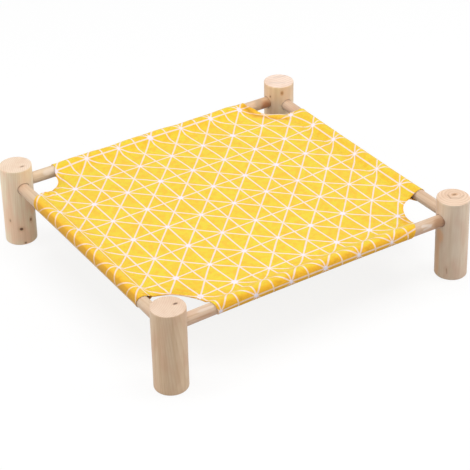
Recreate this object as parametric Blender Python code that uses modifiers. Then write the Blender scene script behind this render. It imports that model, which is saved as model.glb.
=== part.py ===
"""Elevated cat bed: four round pine legs, four dowel rails and a cotton cover stretched between the rails.

The rails plug into blind sockets in the legs. The cover's edges are folded round the rails as sleeves and
sewn down, and its four corners are scooped out around the legs and hemmed.

Metres, +Z up. The origin is on the floor, midway between the legs. +X runs along the long rails and the
front is at -Y.
"""
import math

import bmesh
import bpy

# The frame, in metres
LEG_SPACING_X = 0.414           # between the legs' axes along the long rails
LEG_SPACING_Y = 0.383           # between the legs' axes along the side rails
LEG_DIAMETER = 0.042
LEG_HEIGHT = 0.111
LEG_EDGE = 0.001                # rounding of the legs' rims
RAIL_DIAMETER = 0.016
RAIL_BELOW_TOP = 0.0284         # from the legs' tops down to the rails' axes
RAIL_EDGE = 0.0008              # chamfer of the rails' ends
SOCKET_CLEARANCE = 0.0003       # round the rail in its socket
SOCKET_END_CLEARANCE = 0.0004   # between the rail's end and the socket's floor
SOCKET_WALL = 0.0015            # wood between one socket's floor and the side of the other socket

# The cover, in metres
CLOTH_THICKNESS = 0.0008
CLOTH_GAP = 0.0003              # between pieces that lie on each other
SEAM_REACH = 0.0064             # from the sleeve's round outside in to the seam
SEAM_LAND = 0.002               # width over which the sleeve's two layers are sewn flat
FLAP_WIDTH = 0.008              # sleeve's edge, turned under the panel
CUT_ON_LONG_RAIL = 0.058        # from a leg's axis to the scooped corner, along a long rail
CUT_ON_SIDE_RAIL_FRONT = 0.067  # the same along a side rail, at the front legs
CUT_ON_SIDE_RAIL_BACK = 0.049   # the same along a side rail, at the back legs
SLEEVE_SETBACK = 0.001          # from the scooped corner's end to the sleeve's end
HEM_WIDTH = 0.006               # cloth turned under along the scooped corners
THREAD_DIAMETER = 0.0005
STITCH_INSET = 0.003            # from the seam and from the sleeve's ends to the stitching

# Facets
LEG_SEGMENTS = 64
RAIL_SEGMENTS = 32
SLEEVE_ARC_STEPS = 26
CORNER_ARC_STEPS = 14
CUTTER_OVERSHOOT = 0.005        # a socket's cutter stands out of the leg by this much

# What follows from the sizes above
LEG_RADIUS = LEG_DIAMETER / 2
RAIL_RADIUS = RAIL_DIAMETER / 2
RAIL_HEIGHT = LEG_HEIGHT - RAIL_BELOW_TOP
SOCKET_RADIUS = RAIL_RADIUS + SOCKET_CLEARANCE
SOCKET_FLOOR = SOCKET_RADIUS + SOCKET_WALL
SLEEVE_INSIDE = RAIL_RADIUS + CLOTH_GAP
SLEEVE_OUTSIDE = SLEEVE_INSIDE + CLOTH_THICKNESS
SEAM_OFFSET = SLEEVE_OUTSIDE + SEAM_REACH
PANEL_BOTTOM = RAIL_HEIGHT + CLOTH_GAP / 2
FLAP_TOP = RAIL_HEIGHT - CLOTH_GAP / 2
HALF_X = LEG_SPACING_X / 2
HALF_Y = LEG_SPACING_Y / 2

# Name, side of the bed in X and in Y
LEGS = (
    ("leg_front_left", -1, -1),
    ("leg_front_right", 1, -1),
    ("leg_back_right", 1, 1),
    ("leg_back_left", -1, 1),
)

# Name, direction that points in to the middle of the bed, in degrees from +X
SIDES = (
    ("front", 90),
    ("right", 180),
    ("back", 270),
    ("left", 0),
)

# Name: base colour, roughness
FINISHES = {
    "pine_leg": ((0.80, 0.62, 0.44), 0.55),
    "pine_rail": ((0.78, 0.60, 0.43), 0.55),
    "yellow_cotton": ((0.93, 0.62, 0.05), 0.85),
    "yellow_thread": ((0.93, 0.63, 0.08), 0.80),
}


def clear_scene():
    """Empty the file of the objects and collections that it opened with."""
    for obj in list(bpy.data.objects):
        bpy.data.objects.remove(obj, do_unlink=True)
    for collection in list(bpy.data.collections):
        bpy.data.collections.remove(collection)


def new_collection(name):
    collection = bpy.data.collections.new(name)
    bpy.context.scene.collection.children.link(collection)
    return collection


def finish_material(name):
    """The Principled material of a finish, made once."""
    if name in bpy.data.materials:
        return bpy.data.materials[name]
    colour, roughness = FINISHES[name]
    material = bpy.data.materials.new(name)
    material.use_nodes = True
    shader = material.node_tree.nodes["Principled BSDF"]
    shader.inputs["Base Color"].default_value = (*colour, 1.0)
    shader.inputs["Roughness"].default_value = roughness
    shader.inputs["Metallic"].default_value = 0.0
    material.diffuse_color = (*colour, 1.0)
    return material


def place(obj, collection, location, rotation=(0, 0, 0), parent=None):
    """Link an object to its collection and set where it stands."""
    collection.objects.link(obj)
    obj.location = location
    obj.rotation_euler = rotation
    obj.parent = parent
    return obj


def cylinder_mesh(name, radius, length, segments):
    """A closed cylinder along Z, centred on its origin."""
    mesh = bpy.data.meshes.new(name)
    shape = bmesh.new()
    bmesh.ops.create_cone(
        shape, cap_ends=True, segments=segments, radius1=radius, radius2=radius, depth=length
    )
    shape.to_mesh(mesh)
    shape.free()
    mesh.shade_smooth()
    mesh.set_sharp_from_angle(angle=math.radians(30))
    return mesh


def add_edge_bevel(obj, width, segments):
    """Round the rims of a turned piece."""
    bevel = obj.modifiers.new("eased_edge", "BEVEL")
    bevel.width = width
    bevel.segments = segments
    bevel.limit_method = "ANGLE"
    bevel.angle_limit = math.radians(40)


def add_cut(obj, cutter):
    """Cut one object out of another."""
    cut = obj.modifiers.new(cutter.name, "BOOLEAN")
    cut.operation = "DIFFERENCE"
    cut.solver = "EXACT"
    cut.object = cutter


def flat_outline(name, contours, thickness, material):
    """A plate of the given closed contours, the second and later ones holes, centred on its own XY plane."""
    curve = bpy.data.curves.new(name, "CURVE")
    curve.dimensions = "2D"
    curve.fill_mode = "BOTH"
    curve.extrude = thickness / 2
    for contour in contours:
        spline = curve.splines.new("POLY")
        spline.points.add(len(contour) - 1)
        for point, (x, y) in zip(spline.points, contour):
            point.co = (x, y, 0, 1)
        spline.use_cyclic_u = True
    curve.materials.append(material)
    return bpy.data.objects.new(name, curve)


def round_run(name, start, end, diameter, material):
    """A straight round run between two points."""
    curve = bpy.data.curves.new(name, "CURVE")
    curve.dimensions = "3D"
    curve.fill_mode = "FULL"
    curve.bevel_depth = diameter / 2
    curve.bevel_resolution = 1
    curve.use_fill_caps = True
    spline = curve.splines.new("POLY")
    spline.points.add(1)
    spline.points[0].co = (*start, 1)
    spline.points[1].co = (*end, 1)
    curve.materials.append(material)
    return bpy.data.objects.new(name, curve)


def arc(radius_x, radius_y, start, end, steps):
    """Points of an elliptic arc about the origin between two angles, in radians, both ends included."""
    points = []
    for step in range(steps + 1):
        angle = start + (end - start) * step / steps
        points.append((radius_x * math.cos(angle), radius_y * math.sin(angle)))
    return points


def along_long_rail(side):
    return side in ("front", "back")


def rail_offset(side):
    """Distance from the bed's middle to a side's rail axis."""
    return HALF_Y if along_long_rail(side) else HALF_X


def rail_position(side, inward):
    """The middle of a side's rail."""
    offset = rail_offset(side)
    return (-offset * math.cos(inward), -offset * math.sin(inward), RAIL_HEIGHT)


def side_cut(side_y):
    """How far a scooped corner reaches along the side rail at the front (-1) or the back (1)."""
    return CUT_ON_SIDE_RAIL_FRONT if side_y < 0 else CUT_ON_SIDE_RAIL_BACK


def sleeve_span(side):
    """Where a sleeve starts and ends along +X or +Y."""
    if along_long_rail(side):
        end = HALF_X - CUT_ON_LONG_RAIL - SLEEVE_SETBACK
        return -end, end
    start = -HALF_Y + side_cut(-1) + SLEEVE_SETBACK
    end = HALF_Y - side_cut(1) - SLEEVE_SETBACK
    return start, end


def make_leg(name, side_x, side_y, parts, cutters, parent):
    """A turned leg that stands on the floor, with a blind socket for each of its two rails."""
    mesh = cylinder_mesh(name, LEG_RADIUS, LEG_HEIGHT, LEG_SEGMENTS)
    mesh.materials.append(finish_material("pine_leg"))
    leg = bpy.data.objects.new(name, mesh)
    axis_x = side_x * HALF_X
    axis_y = side_y * HALF_Y
    place(leg, parts, (axis_x, axis_y, LEG_HEIGHT / 2), parent=parent)
    add_edge_bevel(leg, LEG_EDGE, 2)
    length = LEG_RADIUS - SOCKET_FLOOR + CUTTER_OVERSHOOT
    middle = SOCKET_FLOOR + length / 2
    sockets = (
        ("long", (axis_x - side_x * middle, axis_y, RAIL_HEIGHT), 0),
        ("side", (axis_x, axis_y - side_y * middle, RAIL_HEIGHT), math.pi / 2),
    )
    for label, location, turn in sockets:
        cutter_name = f"{name}_{label}_socket"
        socket_mesh = cylinder_mesh(cutter_name, SOCKET_RADIUS, length, RAIL_SEGMENTS)
        cutter = bpy.data.objects.new(cutter_name, socket_mesh)
        place(cutter, cutters, location, (0, math.pi / 2, turn), parent)
        cutter.hide_render = True
        cutter.display_type = "WIRE"
        add_cut(leg, cutter)
    return leg


def make_rail(side, inward, parts, parent):
    """A dowel that reaches into the sockets of the two legs on its side."""
    spacing = LEG_SPACING_X if along_long_rail(side) else LEG_SPACING_Y
    length = spacing - 2 * (SOCKET_FLOOR + SOCKET_END_CLEARANCE)
    mesh = cylinder_mesh(f"rail_{side}", RAIL_RADIUS, length, RAIL_SEGMENTS)
    mesh.materials.append(finish_material("pine_rail"))
    rail = bpy.data.objects.new(f"rail_{side}", mesh)
    turn = 0 if along_long_rail(side) else math.pi / 2
    place(rail, parts, rail_position(side, inward), (0, math.pi / 2, turn), parent)
    add_edge_bevel(rail, RAIL_EDGE, 1)
    return rail


def sleeve_contours():
    """A sleeve's section: round the rail, closed flat at the seam, with its flap under the panel.

    The rail's axis is at (0, 0), X points in to the bed's middle and Y points up.
    """
    seam_half = CLOTH_THICKNESS + CLOTH_GAP / 2
    seam_distance = math.hypot(SEAM_OFFSET, seam_half)
    tangent = math.atan2(seam_half, SEAM_OFFSET) + math.acos(SLEEVE_OUTSIDE / seam_distance)
    flap_edge = SEAM_OFFSET + FLAP_WIDTH
    outside = [(SEAM_OFFSET, seam_half)]
    outside += arc(SLEEVE_OUTSIDE, SLEEVE_OUTSIDE, tangent, 2 * math.pi - tangent, SLEEVE_ARC_STEPS)
    outside += [
        (SEAM_OFFSET, -seam_half),
        (flap_edge, -seam_half),
        (flap_edge, -CLOTH_GAP / 2),
        (SEAM_OFFSET, -CLOTH_GAP / 2),
    ]
    land = SEAM_OFFSET - SEAM_LAND
    land_half = (SLEEVE_INSIDE - land * math.cos(tangent)) / math.sin(tangent)
    inside = [(land, land_half)]
    inside += arc(SLEEVE_INSIDE, SLEEVE_INSIDE, tangent, 2 * math.pi - tangent, SLEEVE_ARC_STEPS)
    inside += [(land, -land_half)]
    return [outside, inside]


def make_sleeve(side, inward, parts, parent):
    """The cover's edge, folded round one rail and sewn to itself."""
    start, end = sleeve_span(side)
    sleeve = flat_outline(f"sleeve_{side}", sleeve_contours(), end - start, finish_material("yellow_cotton"))
    x, y, z = rail_position(side, inward)
    shift = (start + end) / 2
    if along_long_rail(side):
        x += shift
    else:
        y += shift
    return place(sleeve, parts, (x, y, z), (math.pi / 2, 0, inward), parent)


def scooped_corner(side_x, side_y, widening, clear_of_rail):
    """Points round a leg of a corner's scooped edge, from the side rail's end to the long rail's end.

    widening pushes the edge away from the leg, and clear_of_rail is where the arc stops short of the
    rails' axes.
    """
    reach_x = CUT_ON_LONG_RAIL + widening
    reach_y = side_cut(side_y) + widening
    first = math.acos(clear_of_rail / reach_x)
    last = math.asin(clear_of_rail / reach_y)
    points = arc(reach_x, reach_y, first, last, CORNER_ARC_STEPS)
    return [(side_x * (HALF_X - x), side_y * (HALF_Y - y)) for x, y in points]


def make_panel(parts, parent):
    """The stretched sheet between the four seams."""
    edge = SEAM_OFFSET + CLOTH_GAP
    outline = []
    for _, side_x, side_y in LEGS:
        corner = scooped_corner(side_x, side_y, 0, edge)
        if side_x == side_y:
            outline += corner
        else:
            outline += reversed(corner)
    panel = flat_outline("cover_panel", [outline], CLOTH_THICKNESS, finish_material("yellow_cotton"))
    return place(panel, parts, (0, 0, PANEL_BOTTOM + CLOTH_THICKNESS / 2), parent=parent)


def make_corner_hem(leg_name, side_x, side_y, parts, parent):
    """The strip of cloth turned under along one scooped corner, clear of the sleeves' flaps."""
    stop = SEAM_OFFSET + FLAP_WIDTH + CLOTH_GAP
    inner = scooped_corner(side_x, side_y, 0, stop)
    outer = scooped_corner(side_x, side_y, HEM_WIDTH, stop)
    name = leg_name.replace("leg", "corner_hem")
    hem = flat_outline(name, [inner + outer[::-1]], CLOTH_THICKNESS, finish_material("yellow_cotton"))
    return place(hem, parts, (0, 0, FLAP_TOP - CLOTH_THICKNESS / 2), parent=parent)


def make_seam_thread(side, inward, parts, parent):
    """The row of thread that sews a sleeve's flap to the panel, lying on the panel."""
    start, end = sleeve_span(side)
    row_offset = rail_offset(side) - SEAM_OFFSET - STITCH_INSET
    height = PANEL_BOTTOM + CLOTH_THICKNESS + CLOTH_GAP + THREAD_DIAMETER / 2
    ends = []
    for position in (start + STITCH_INSET, end - STITCH_INSET):
        if along_long_rail(side):
            ends.append((position, -row_offset * math.sin(inward), height))
        else:
            ends.append((-row_offset * math.cos(inward), position, height))
    thread = round_run(f"seam_thread_{side}", *ends, THREAD_DIAMETER, finish_material("yellow_thread"))
    return place(thread, parts, (0, 0, 0), parent=parent)


def main():
    clear_scene()
    parts = new_collection("elevated_cat_bed")
    cutters = new_collection("cutters")
    bed = place(bpy.data.objects.new("cat_bed_origin", None), parts, (0, 0, 0))
    for name, side_x, side_y in LEGS:
        make_leg(name, side_x, side_y, parts, cutters, bed)
        make_corner_hem(name, side_x, side_y, parts, bed)
    for side, degrees in SIDES:
        inward = math.radians(degrees)
        make_rail(side, inward, parts, bed)
        make_sleeve(side, inward, parts, bed)
        make_seam_thread(side, inward, parts, bed)
    make_panel(parts, bed)


main()
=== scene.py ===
"""Looks of an elevated cat bed: four pine legs, four dowel rails and a printed cotton cover.

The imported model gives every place. The legs and rails are made again with the wear of real wood. The cover
is one piece of cloth, mapped from its flat cut: along the sheet, round each rail and back under the sheet.

Metres, +Z up, the front at -Y and the long rails along X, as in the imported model.
"""
import logging
import math
from dataclasses import dataclass, field
from enum import Enum

import bmesh
import bpy
import numpy as np
from mathutils import Matrix, Vector, noise
from mathutils.geometry import delaunay_2d_cdt


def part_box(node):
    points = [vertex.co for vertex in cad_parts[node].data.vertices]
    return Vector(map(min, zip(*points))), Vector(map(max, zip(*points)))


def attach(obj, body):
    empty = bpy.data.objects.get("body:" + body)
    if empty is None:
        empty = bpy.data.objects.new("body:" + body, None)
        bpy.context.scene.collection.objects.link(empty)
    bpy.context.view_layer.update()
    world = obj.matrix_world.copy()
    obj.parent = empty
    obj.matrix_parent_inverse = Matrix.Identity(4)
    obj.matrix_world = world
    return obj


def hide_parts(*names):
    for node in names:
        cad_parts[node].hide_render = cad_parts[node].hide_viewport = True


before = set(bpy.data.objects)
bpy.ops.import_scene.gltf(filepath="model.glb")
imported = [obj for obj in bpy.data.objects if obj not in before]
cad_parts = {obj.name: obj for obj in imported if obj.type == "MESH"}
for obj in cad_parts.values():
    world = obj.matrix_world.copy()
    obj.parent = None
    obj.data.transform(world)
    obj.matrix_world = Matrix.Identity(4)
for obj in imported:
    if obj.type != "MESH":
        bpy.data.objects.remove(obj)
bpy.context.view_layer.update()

BODY = "root"
CLOTH_MAP = "cloth"             # the cover's print on its flat cut, in metres from the bed's middle
PAINTED_SHADE = "shade"                 # painted shade: where the cloth turns off the flat, its yellow is drawn orange, and brown in creases
PER_METRE = 1000.0              # millimetres in a metre, for the patterns of the materials
LIGHTEST = 0.95                 # no paint gives back more of its light than this
SHARP = math.radians(38)        # a wooden edge that turns by more than this is drawn sharp
SCOOP_POINTS = 600              # on a scooped corner, before its points are spaced evenly
END_POINTS = 60                 # on a sleeve's end, the same
FOLD_STEP = 0.0001              # between the points of the path round a rail

log = logging.getLogger("cat_bed")

Colour = tuple[float, float, float, float]
Place = tuple[float, float, float]


def paint(red: int, green: int, blue: int) -> Colour:
    """The shader's colour of a paint that is named by its screen values.

    Args:
        red: Red from 0 to 255.
        green: Green from 0 to 255.
        blue: Blue from 0 to 255.

    Returns:
        The linear colour with full alpha.
    """
    linear = []
    for value in (red, green, blue):
        share = value / 255
        linear.append(share / 12.92 if share <= 0.04045 else ((share + 0.055) / 1.055) ** 2.4)
    return (linear[0], linear[1], linear[2], 1.0)


def toned(colour: Colour, tone: Place) -> Colour:
    """A colour made lighter or darker by one factor each for its red, green and blue."""
    red, green, blue = (min(part * factor, LIGHTEST) for part, factor in zip(colour, tone))
    return (red, green, blue, 1.0)


def smooth(x: np.ndarray) -> np.ndarray:
    """A soft step from 0 at x = 0 to 1 at x = 1."""
    t = np.clip(x, 0.0, 1.0)
    return t * t * (3 - 2 * t)


def bell(x: np.ndarray, width: float) -> np.ndarray:
    """A rounded hill of height 1 at x = 0."""
    return np.exp(-(x / width) ** 2)


def lengths_along(points: np.ndarray) -> np.ndarray:
    """How far each point of a line is from its first, along the line."""
    steps = np.linalg.norm(np.diff(points, axis=0), axis=1)
    return np.concatenate([[0.0], np.cumsum(steps)])


def points_at(points: np.ndarray, wanted: np.ndarray) -> np.ndarray:
    """The points of a flat line that lie at the wanted distances along it."""
    along = lengths_along(points)
    return np.stack([np.interp(wanted, along, points[:, axis]) for axis in (0, 1)], 1)


def in_scene(name: str, data: bpy.types.ID) -> bpy.types.Object:
    """An object with the given mesh, camera or lamp, in the scene."""
    made = bpy.data.objects.new(name, data)
    bpy.context.scene.collection.objects.link(made)
    return made


# Shader maths


class Link:
    """An output socket in a material, such as a colour or a vector."""

    def __init__(self, graph: "Graph", socket: bpy.types.NodeSocket) -> None:
        """Keep the graph that the socket belongs to.

        Args:
            graph: The material's nodes.
            socket: The output.
        """
        self.graph = graph
        self.socket = socket


class Number(Link):
    """An output socket that holds a number. Arithmetic on it adds Math nodes."""

    def _math(self, operation: str, *values: "Number | float") -> "Number":
        """One Math node on the given values."""
        made = self.graph.node("ShaderNodeMath", {"operation": operation}, dict(enumerate(values)))
        return self.graph.number(made)

    def __add__(self, other: "Number | float") -> "Number":
        """self + other."""
        return self._math("ADD", self, other)

    def __radd__(self, other: float) -> "Number":
        """other + self."""
        return self._math("ADD", other, self)

    def __sub__(self, other: "Number | float") -> "Number":
        """self - other."""
        return self._math("SUBTRACT", self, other)

    def __rsub__(self, other: float) -> "Number":
        """other - self."""
        return self._math("SUBTRACT", other, self)

    def __mul__(self, other: "Number | float") -> "Number":
        """self * other."""
        return self._math("MULTIPLY", self, other)

    def __rmul__(self, other: float) -> "Number":
        """other * self."""
        return self._math("MULTIPLY", other, self)

    def __truediv__(self, other: "Number | float") -> "Number":
        """self / other."""
        return self._math("DIVIDE", self, other)

    def __pow__(self, other: "Number | float") -> "Number":
        """self to a power."""
        return self._math("POWER", self, other)

    def __abs__(self) -> "Number":
        """The size of self, without its sign."""
        return self._math("ABSOLUTE", self)

    def part(self) -> "Number":
        """What is left of self after its whole part."""
        return self._math("FRACT", self)

    def whole(self) -> "Number":
        """The whole part of self."""
        return self._math("FLOOR", self)

    def sine(self) -> "Number":
        """The sine of self, in radians."""
        return self._math("SINE", self)

    def most(self, other: "Number | float") -> "Number":
        """The larger of self and other."""
        return self._math("MAXIMUM", self, other)

    def least(self, other: "Number | float") -> "Number":
        """The smaller of self and other."""
        return self._math("MINIMUM", self, other)

    def fade(self, start: float, end: float) -> "Number":
        """A soft step of self.

        Args:
            start: Where the step is 0.
            end: Where it is 1. It may lie below start.

        Returns:
            The step.
        """
        settings = {"interpolation_type": "SMOOTHSTEP"}
        values = {"Value": self, "From Min": start, "From Max": end, "To Min": 0.0, "To Max": 1.0}
        return self.graph.number(self.graph.node("ShaderNodeMapRange", settings, values))


class Graph:
    """The nodes of one material or world."""

    def __init__(self, owner: bpy.types.Material | bpy.types.World) -> None:
        """Start with an empty tree.

        Args:
            owner: What the nodes dress.
        """
        owner.use_nodes = True
        self.tree = owner.node_tree
        self.tree.nodes.clear()

    @staticmethod
    def _socket(sockets: bpy.types.bpy_prop_collection, key: str | int) -> bpy.types.NodeSocket:
        """A socket by its place, its identifier or its name."""
        if isinstance(key, int):
            return sockets[key]
        for socket in sockets:
            if socket.identifier == key:
                return socket
        return sockets[key]

    def node(self, kind: str, settings: dict[str, object] | None = None,
             values: dict[str | int, object] | None = None) -> bpy.types.Node:
        """Add a node.

        Args:
            kind: The node's type.
            settings: The node's own choices, which are set first.
            values: What each input holds, a number, a colour or a link.

        Returns:
            The node.
        """
        made = self.tree.nodes.new(kind)
        for name, value in (settings or {}).items():
            setattr(made, name, value)
        for key, value in (values or {}).items():
            socket = self._socket(made.inputs, key)
            if isinstance(value, Link):
                self.tree.links.new(value.socket, socket)
            else:
                socket.default_value = value
        return made

    def link(self, node: bpy.types.Node, output: str | int = 0) -> Link:
        """An output of a node."""
        return Link(self, self._socket(node.outputs, output))

    def number(self, node: bpy.types.Node, output: str | int = 0) -> Number:
        """An output of a node that holds a number."""
        return Number(self, self._socket(node.outputs, output))

    def vector(self, operation: str, first: Link, second: Link | Place) -> Link:
        """One Vector Math node on two vectors."""
        return self.link(self.node("ShaderNodeVectorMath", {"operation": operation}, {0: first, 1: second}))

    def length(self, value: Link) -> Number:
        """The length of a vector."""
        made = self.node("ShaderNodeVectorMath", {"operation": "LENGTH"}, {0: value})
        return self.number(made, "Value")

    def dot(self, first: Link, second: Link | Place) -> Number:
        """The dot product of two vectors."""
        made = self.node("ShaderNodeVectorMath", {"operation": "DOT_PRODUCT"}, {0: first, 1: second})
        return self.number(made, "Value")

    def split(self, value: Link) -> tuple[Number, Number, Number]:
        """The three numbers of a vector."""
        made = self.node("ShaderNodeSeparateXYZ", None, {0: value})
        return self.number(made, 0), self.number(made, 1), self.number(made, 2)

    def join(self, x: Number | float, y: Number | float, z: Number | float) -> Link:
        """A vector of three numbers."""
        return self.link(self.node("ShaderNodeCombineXYZ", None, {0: x, 1: y, 2: z}))

    def mix(self, share: Number | float, first: Link | Colour, second: Link | Colour,
            blend: str = "MIX") -> Link:
        """Mix two colours.

        Args:
            share: How much of the second colour shows.
            first: The colour at 0.
            second: The colour at 1.
            blend: The way of mixing.

        Returns:
            The mixed colour.
        """
        settings = {"data_type": "RGBA", "blend_type": blend, "clamp_factor": True}
        values = {"Factor_Float": share, "A_Color": first, "B_Color": second}
        return self.link(self.node("ShaderNodeMix", settings, values), "Result_Color")

    def noise(self, place: Link, scale: float = 1.0, detail: float = 2.0, roughness: float = 0.5) -> Number:
        """Soft noise from 0 to 1.

        Args:
            place: The point, in units of the noise's own size.
            scale: A factor on the point.
            detail: How many finer layers it has.
            roughness: How strong the finer layers are.

        Returns:
            The noise.
        """
        values = {"Vector": place, "Scale": scale, "Detail": detail, "Roughness": roughness}
        return self.number(self.node("ShaderNodeTexNoise", None, values), 0)

    def drift(self, place: Link, reach: float) -> Link:
        """A vector that wanders with the place, up to about half of reach either way."""
        values = {"Vector": place, "Scale": 1.0, "Detail": 1.5, "Roughness": 0.5}
        made = self.node("ShaderNodeTexNoise", None, values)
        middle = self.vector("SUBTRACT", self.link(made, "Color"), (0.5, 0.5, 0.5))
        return self.vector("MULTIPLY", middle, (reach, reach, reach))

    def bump(self, height: Number, depth: float, strength: float) -> Link:
        """The normal of a surface with small relief.

        Args:
            height: The relief, from 0 to 1.
            depth: What 1 stands for, in metres.
            strength: How much of it shows.

        Returns:
            The normal.
        """
        values = {"Height": height, "Distance": depth, "Strength": strength}
        return self.link(self.node("ShaderNodeBump", None, values))

    def surface(self, values: dict[str, object]) -> None:
        """Finish the tree with a Principled surface of the given values."""
        shader = self.node("ShaderNodeBsdfPrincipled", None, values)
        self.node("ShaderNodeOutputMaterial", None, {"Surface": self.link(shader)})


# Finishes


class Grain(Enum):
    """Which of a piece's own axes its wood fibres follow."""

    UPRIGHT = "z"
    LENGTHWISE = "x"


@dataclass(frozen=True)
class Mark:
    """A knot, a check, a stain or another patch of colour in the wood, as a soft ellipsoid, drawn out along a
    run if it has one.
    """

    place: Place                # from the piece's own origin
    reach: Place                # half its size along each axis
    colour: Colour
    depth: float = 0.9          # how much of its colour shows at its heart
    halo: float = 0.0           # how much of the stain round it shows
    run: Place | None = None    # from its place to its other end

    def distance(self, graph: Graph, point: Link) -> Number:
        """How far a point is from the mark's heart, in its own reaches."""
        away = graph.vector("SUBTRACT", point, self.place)
        if self.run:
            share = (graph.dot(away, self.run) / Vector(self.run).length_squared).most(0.0).least(1.0)
            away = graph.vector("SUBTRACT", away, graph.join(*(share * part for part in self.run)))
        return graph.length(graph.vector("MULTIPLY", away, tuple(1 / reach for reach in self.reach)))


@dataclass(frozen=True)
class PineFinish:
    """Sanded, unvarnished pine: rings round a pith, fine fibres, soft blush and its own marks."""

    name: str
    grain: Grain
    pith: tuple[float, float]               # the tree's middle from the piece's axis
    lean: tuple[float, float]               # the pith's drift in millimetres for each metre of grain
    seed: Place
    marks: tuple[Mark, ...] = ()
    tone: Place = (1.0, 1.0, 1.0)           # this piece's shade of wood on its side, part its own colour and part painted light
    end_tone: Place = (1.0, 1.0, 1.0)       # and on its sawn ends, likewise part painted light
    ring: float = 0.0026                    # width of one year's growth
    ring_depth: float = 0.17
    end_ring_depth: float = 0.20
    swirl: float = 5.0                      # how far the rings wander, in millimetres
    blush_depth: float = 0.75               # how strongly each colour lies over the pale wood
    streak_depth: float = 0.38
    fibre_depth: float = 0.30
    speck_depth: float = 0.16
    end_blush_depth: float = 0.35
    end_fibre_depth: float = 0.10
    pale: Colour = paint(231, 204, 172)
    late: Colour = paint(196, 152, 108)
    blush: Colour = paint(222, 182, 150)
    fibre: Colour = paint(205, 170, 132)
    end_pale: Colour = paint(244, 217, 192)
    stain: Colour = paint(205, 150, 98)
    fuzz: float = 0.30                      # raised fibres, which go pale where the side turns away

    def build(self) -> bpy.types.Material:
        """Make the material.

        Returns:
            The material.
        """
        material = bpy.data.materials.new(self.name)
        graph = Graph(material)
        own = graph.link(graph.node("ShaderNodeTexCoord"), "Object")
        point = graph.vector("MULTIPLY", own, (PER_METRE,) * 3)
        if self.grain is Grain.LENGTHWISE:
            x, y, z = graph.split(point)
            point = graph.join(y, z, x)
        seeded = graph.vector("ADD", point, self.seed)
        late = self._late_wood(graph, point, seeded)
        fibres = self._drawn_out(graph, seeded, 0.9, 0.028, detail=4.0, roughness=0.62)
        streaks = self._drawn_out(graph, seeded, 0.24, 0.012)
        clouds = self._drawn_out(graph, seeded, 0.055, 0.022)
        specks = self._drawn_out(graph, seeded, 2.6, 0.30, roughness=0.7)

        pale, late_wood, blush, fibre = self._woods(self.pale, self.tone)
        colour = graph.mix(late * self.ring_depth, pale, late_wood)
        colour = graph.mix(clouds.fade(0.38, 0.68) * self.blush_depth, colour, blush)
        colour = graph.mix(streaks.fade(0.42, 0.72) * self.streak_depth, colour, fibre)
        colour = graph.mix(fibres.fade(0.45, 0.80) * self.fibre_depth, colour, fibre)
        colour = graph.mix(specks.fade(0.62, 0.80) * self.speck_depth, colour, late_wood)
        if self.grain is Grain.UPRIGHT:
            facing = graph.link(graph.node("ShaderNodeNewGeometry"), "Normal")
            end = abs(graph.split(facing)[2]).fade(0.55, 0.90)
            colour = graph.mix(end, colour, self._sawn(graph, seeded, late, clouds))
            fibres = fibres * (1.0 - end * 0.7)
            specks = specks * (1.0 - end)
        relief = fibres * 0.6 + specks * 0.3 + late * 0.35
        for mark in self.marks:
            distance = mark.distance(graph, self._nudged(graph, own, clouds)) + (fibres - 0.5) * 0.5
            if mark.halo:
                colour = graph.mix(distance.fade(2.9, 0.9) * mark.halo, colour, self.stain)
            colour = graph.mix(distance.fade(1.25, 0.55) * mark.depth, colour, mark.colour)
            relief = relief - distance.fade(1.1, 0.6) * mark.depth
        graph.surface({
            "Base Color": colour,
            "Roughness": 0.58 + fibres * 0.16,
            "Specular IOR Level": 0.40,
            "Sheen Weight": self.fuzz,
            "Sheen Roughness": 0.35,
            "Normal": graph.bump(relief, 0.0003, 0.55),
        })
        return material

    def _sawn(self, graph: Graph, seeded: Link, late: Number, clouds: Number) -> Link:
        """The colour of a sawn end.

        Args:
            graph: The material's nodes.
            seeded: The point in millimetres, moved by the piece's seed.
            late: 1 in the year's late wood.
            clouds: The slow noise that the blush follows.

        Returns:
            The colour.
        """
        spokes = self._drawn_out(graph, seeded, 0.55, 0.02, detail=3.0)
        pale, late_wood, blush, fibre = self._woods(self.end_pale, self.end_tone)
        colour = graph.mix(late * self.end_ring_depth, pale, late_wood)
        colour = graph.mix(clouds.fade(0.40, 0.70) * self.end_blush_depth, colour, blush)
        return graph.mix(spokes.fade(0.50, 0.75) * self.end_fibre_depth, colour, fibre)

    def _late_wood(self, graph: Graph, point: Link, seeded: Link) -> Number:
        """How far the wood is into the dark end of a year's growth.

        Args:
            graph: The material's nodes.
            point: The point in millimetres, with z along the grain.
            seeded: The same point, moved by the piece's seed.

        Returns:
            1 in late wood and 0 in the year's pale wood.
        """
        stretched = graph.vector("MULTIPLY", seeded, (0.035, 0.035, 0.010))
        x, y, z = graph.split(graph.vector("ADD", point, graph.drift(stretched, self.swirl)))
        across = x - self.pith[0] * PER_METRE - z * (self.lean[0] / PER_METRE)
        deep = y - self.pith[1] * PER_METRE - z * (self.lean[1] / PER_METRE)
        radius = (across * across + deep * deep) ** 0.5
        year = (radius / (self.ring * PER_METRE)).part()
        return year.fade(0.25, 0.88) * year.fade(1.0, 0.93)

    @staticmethod
    def _drawn_out(graph: Graph, point: Link, across: float, along: float, detail: float = 2.0,
                   roughness: float = 0.5) -> Number:
        """Noise that is drawn out along the grain.

        Args:
            graph: The material's nodes.
            point: The point in millimetres, with z along the grain.
            across: How many of its blots fill a millimetre across the grain.
            along: The same along the grain.
            detail: How many finer layers it has.
            roughness: How strong the finer layers are.

        Returns:
            The noise, from 0 to 1.
        """
        return graph.noise(graph.vector("MULTIPLY", point, (across, across, along)), 1.0, detail, roughness)

    def _woods(self, pale: Colour, tone: Place) -> tuple[Colour, ...]:
        """The pale wood, the late wood, the blush and the fibre in one shade."""
        return tuple(toned(colour, tone) for colour in (pale, self.late, self.blush, self.fibre))

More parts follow.
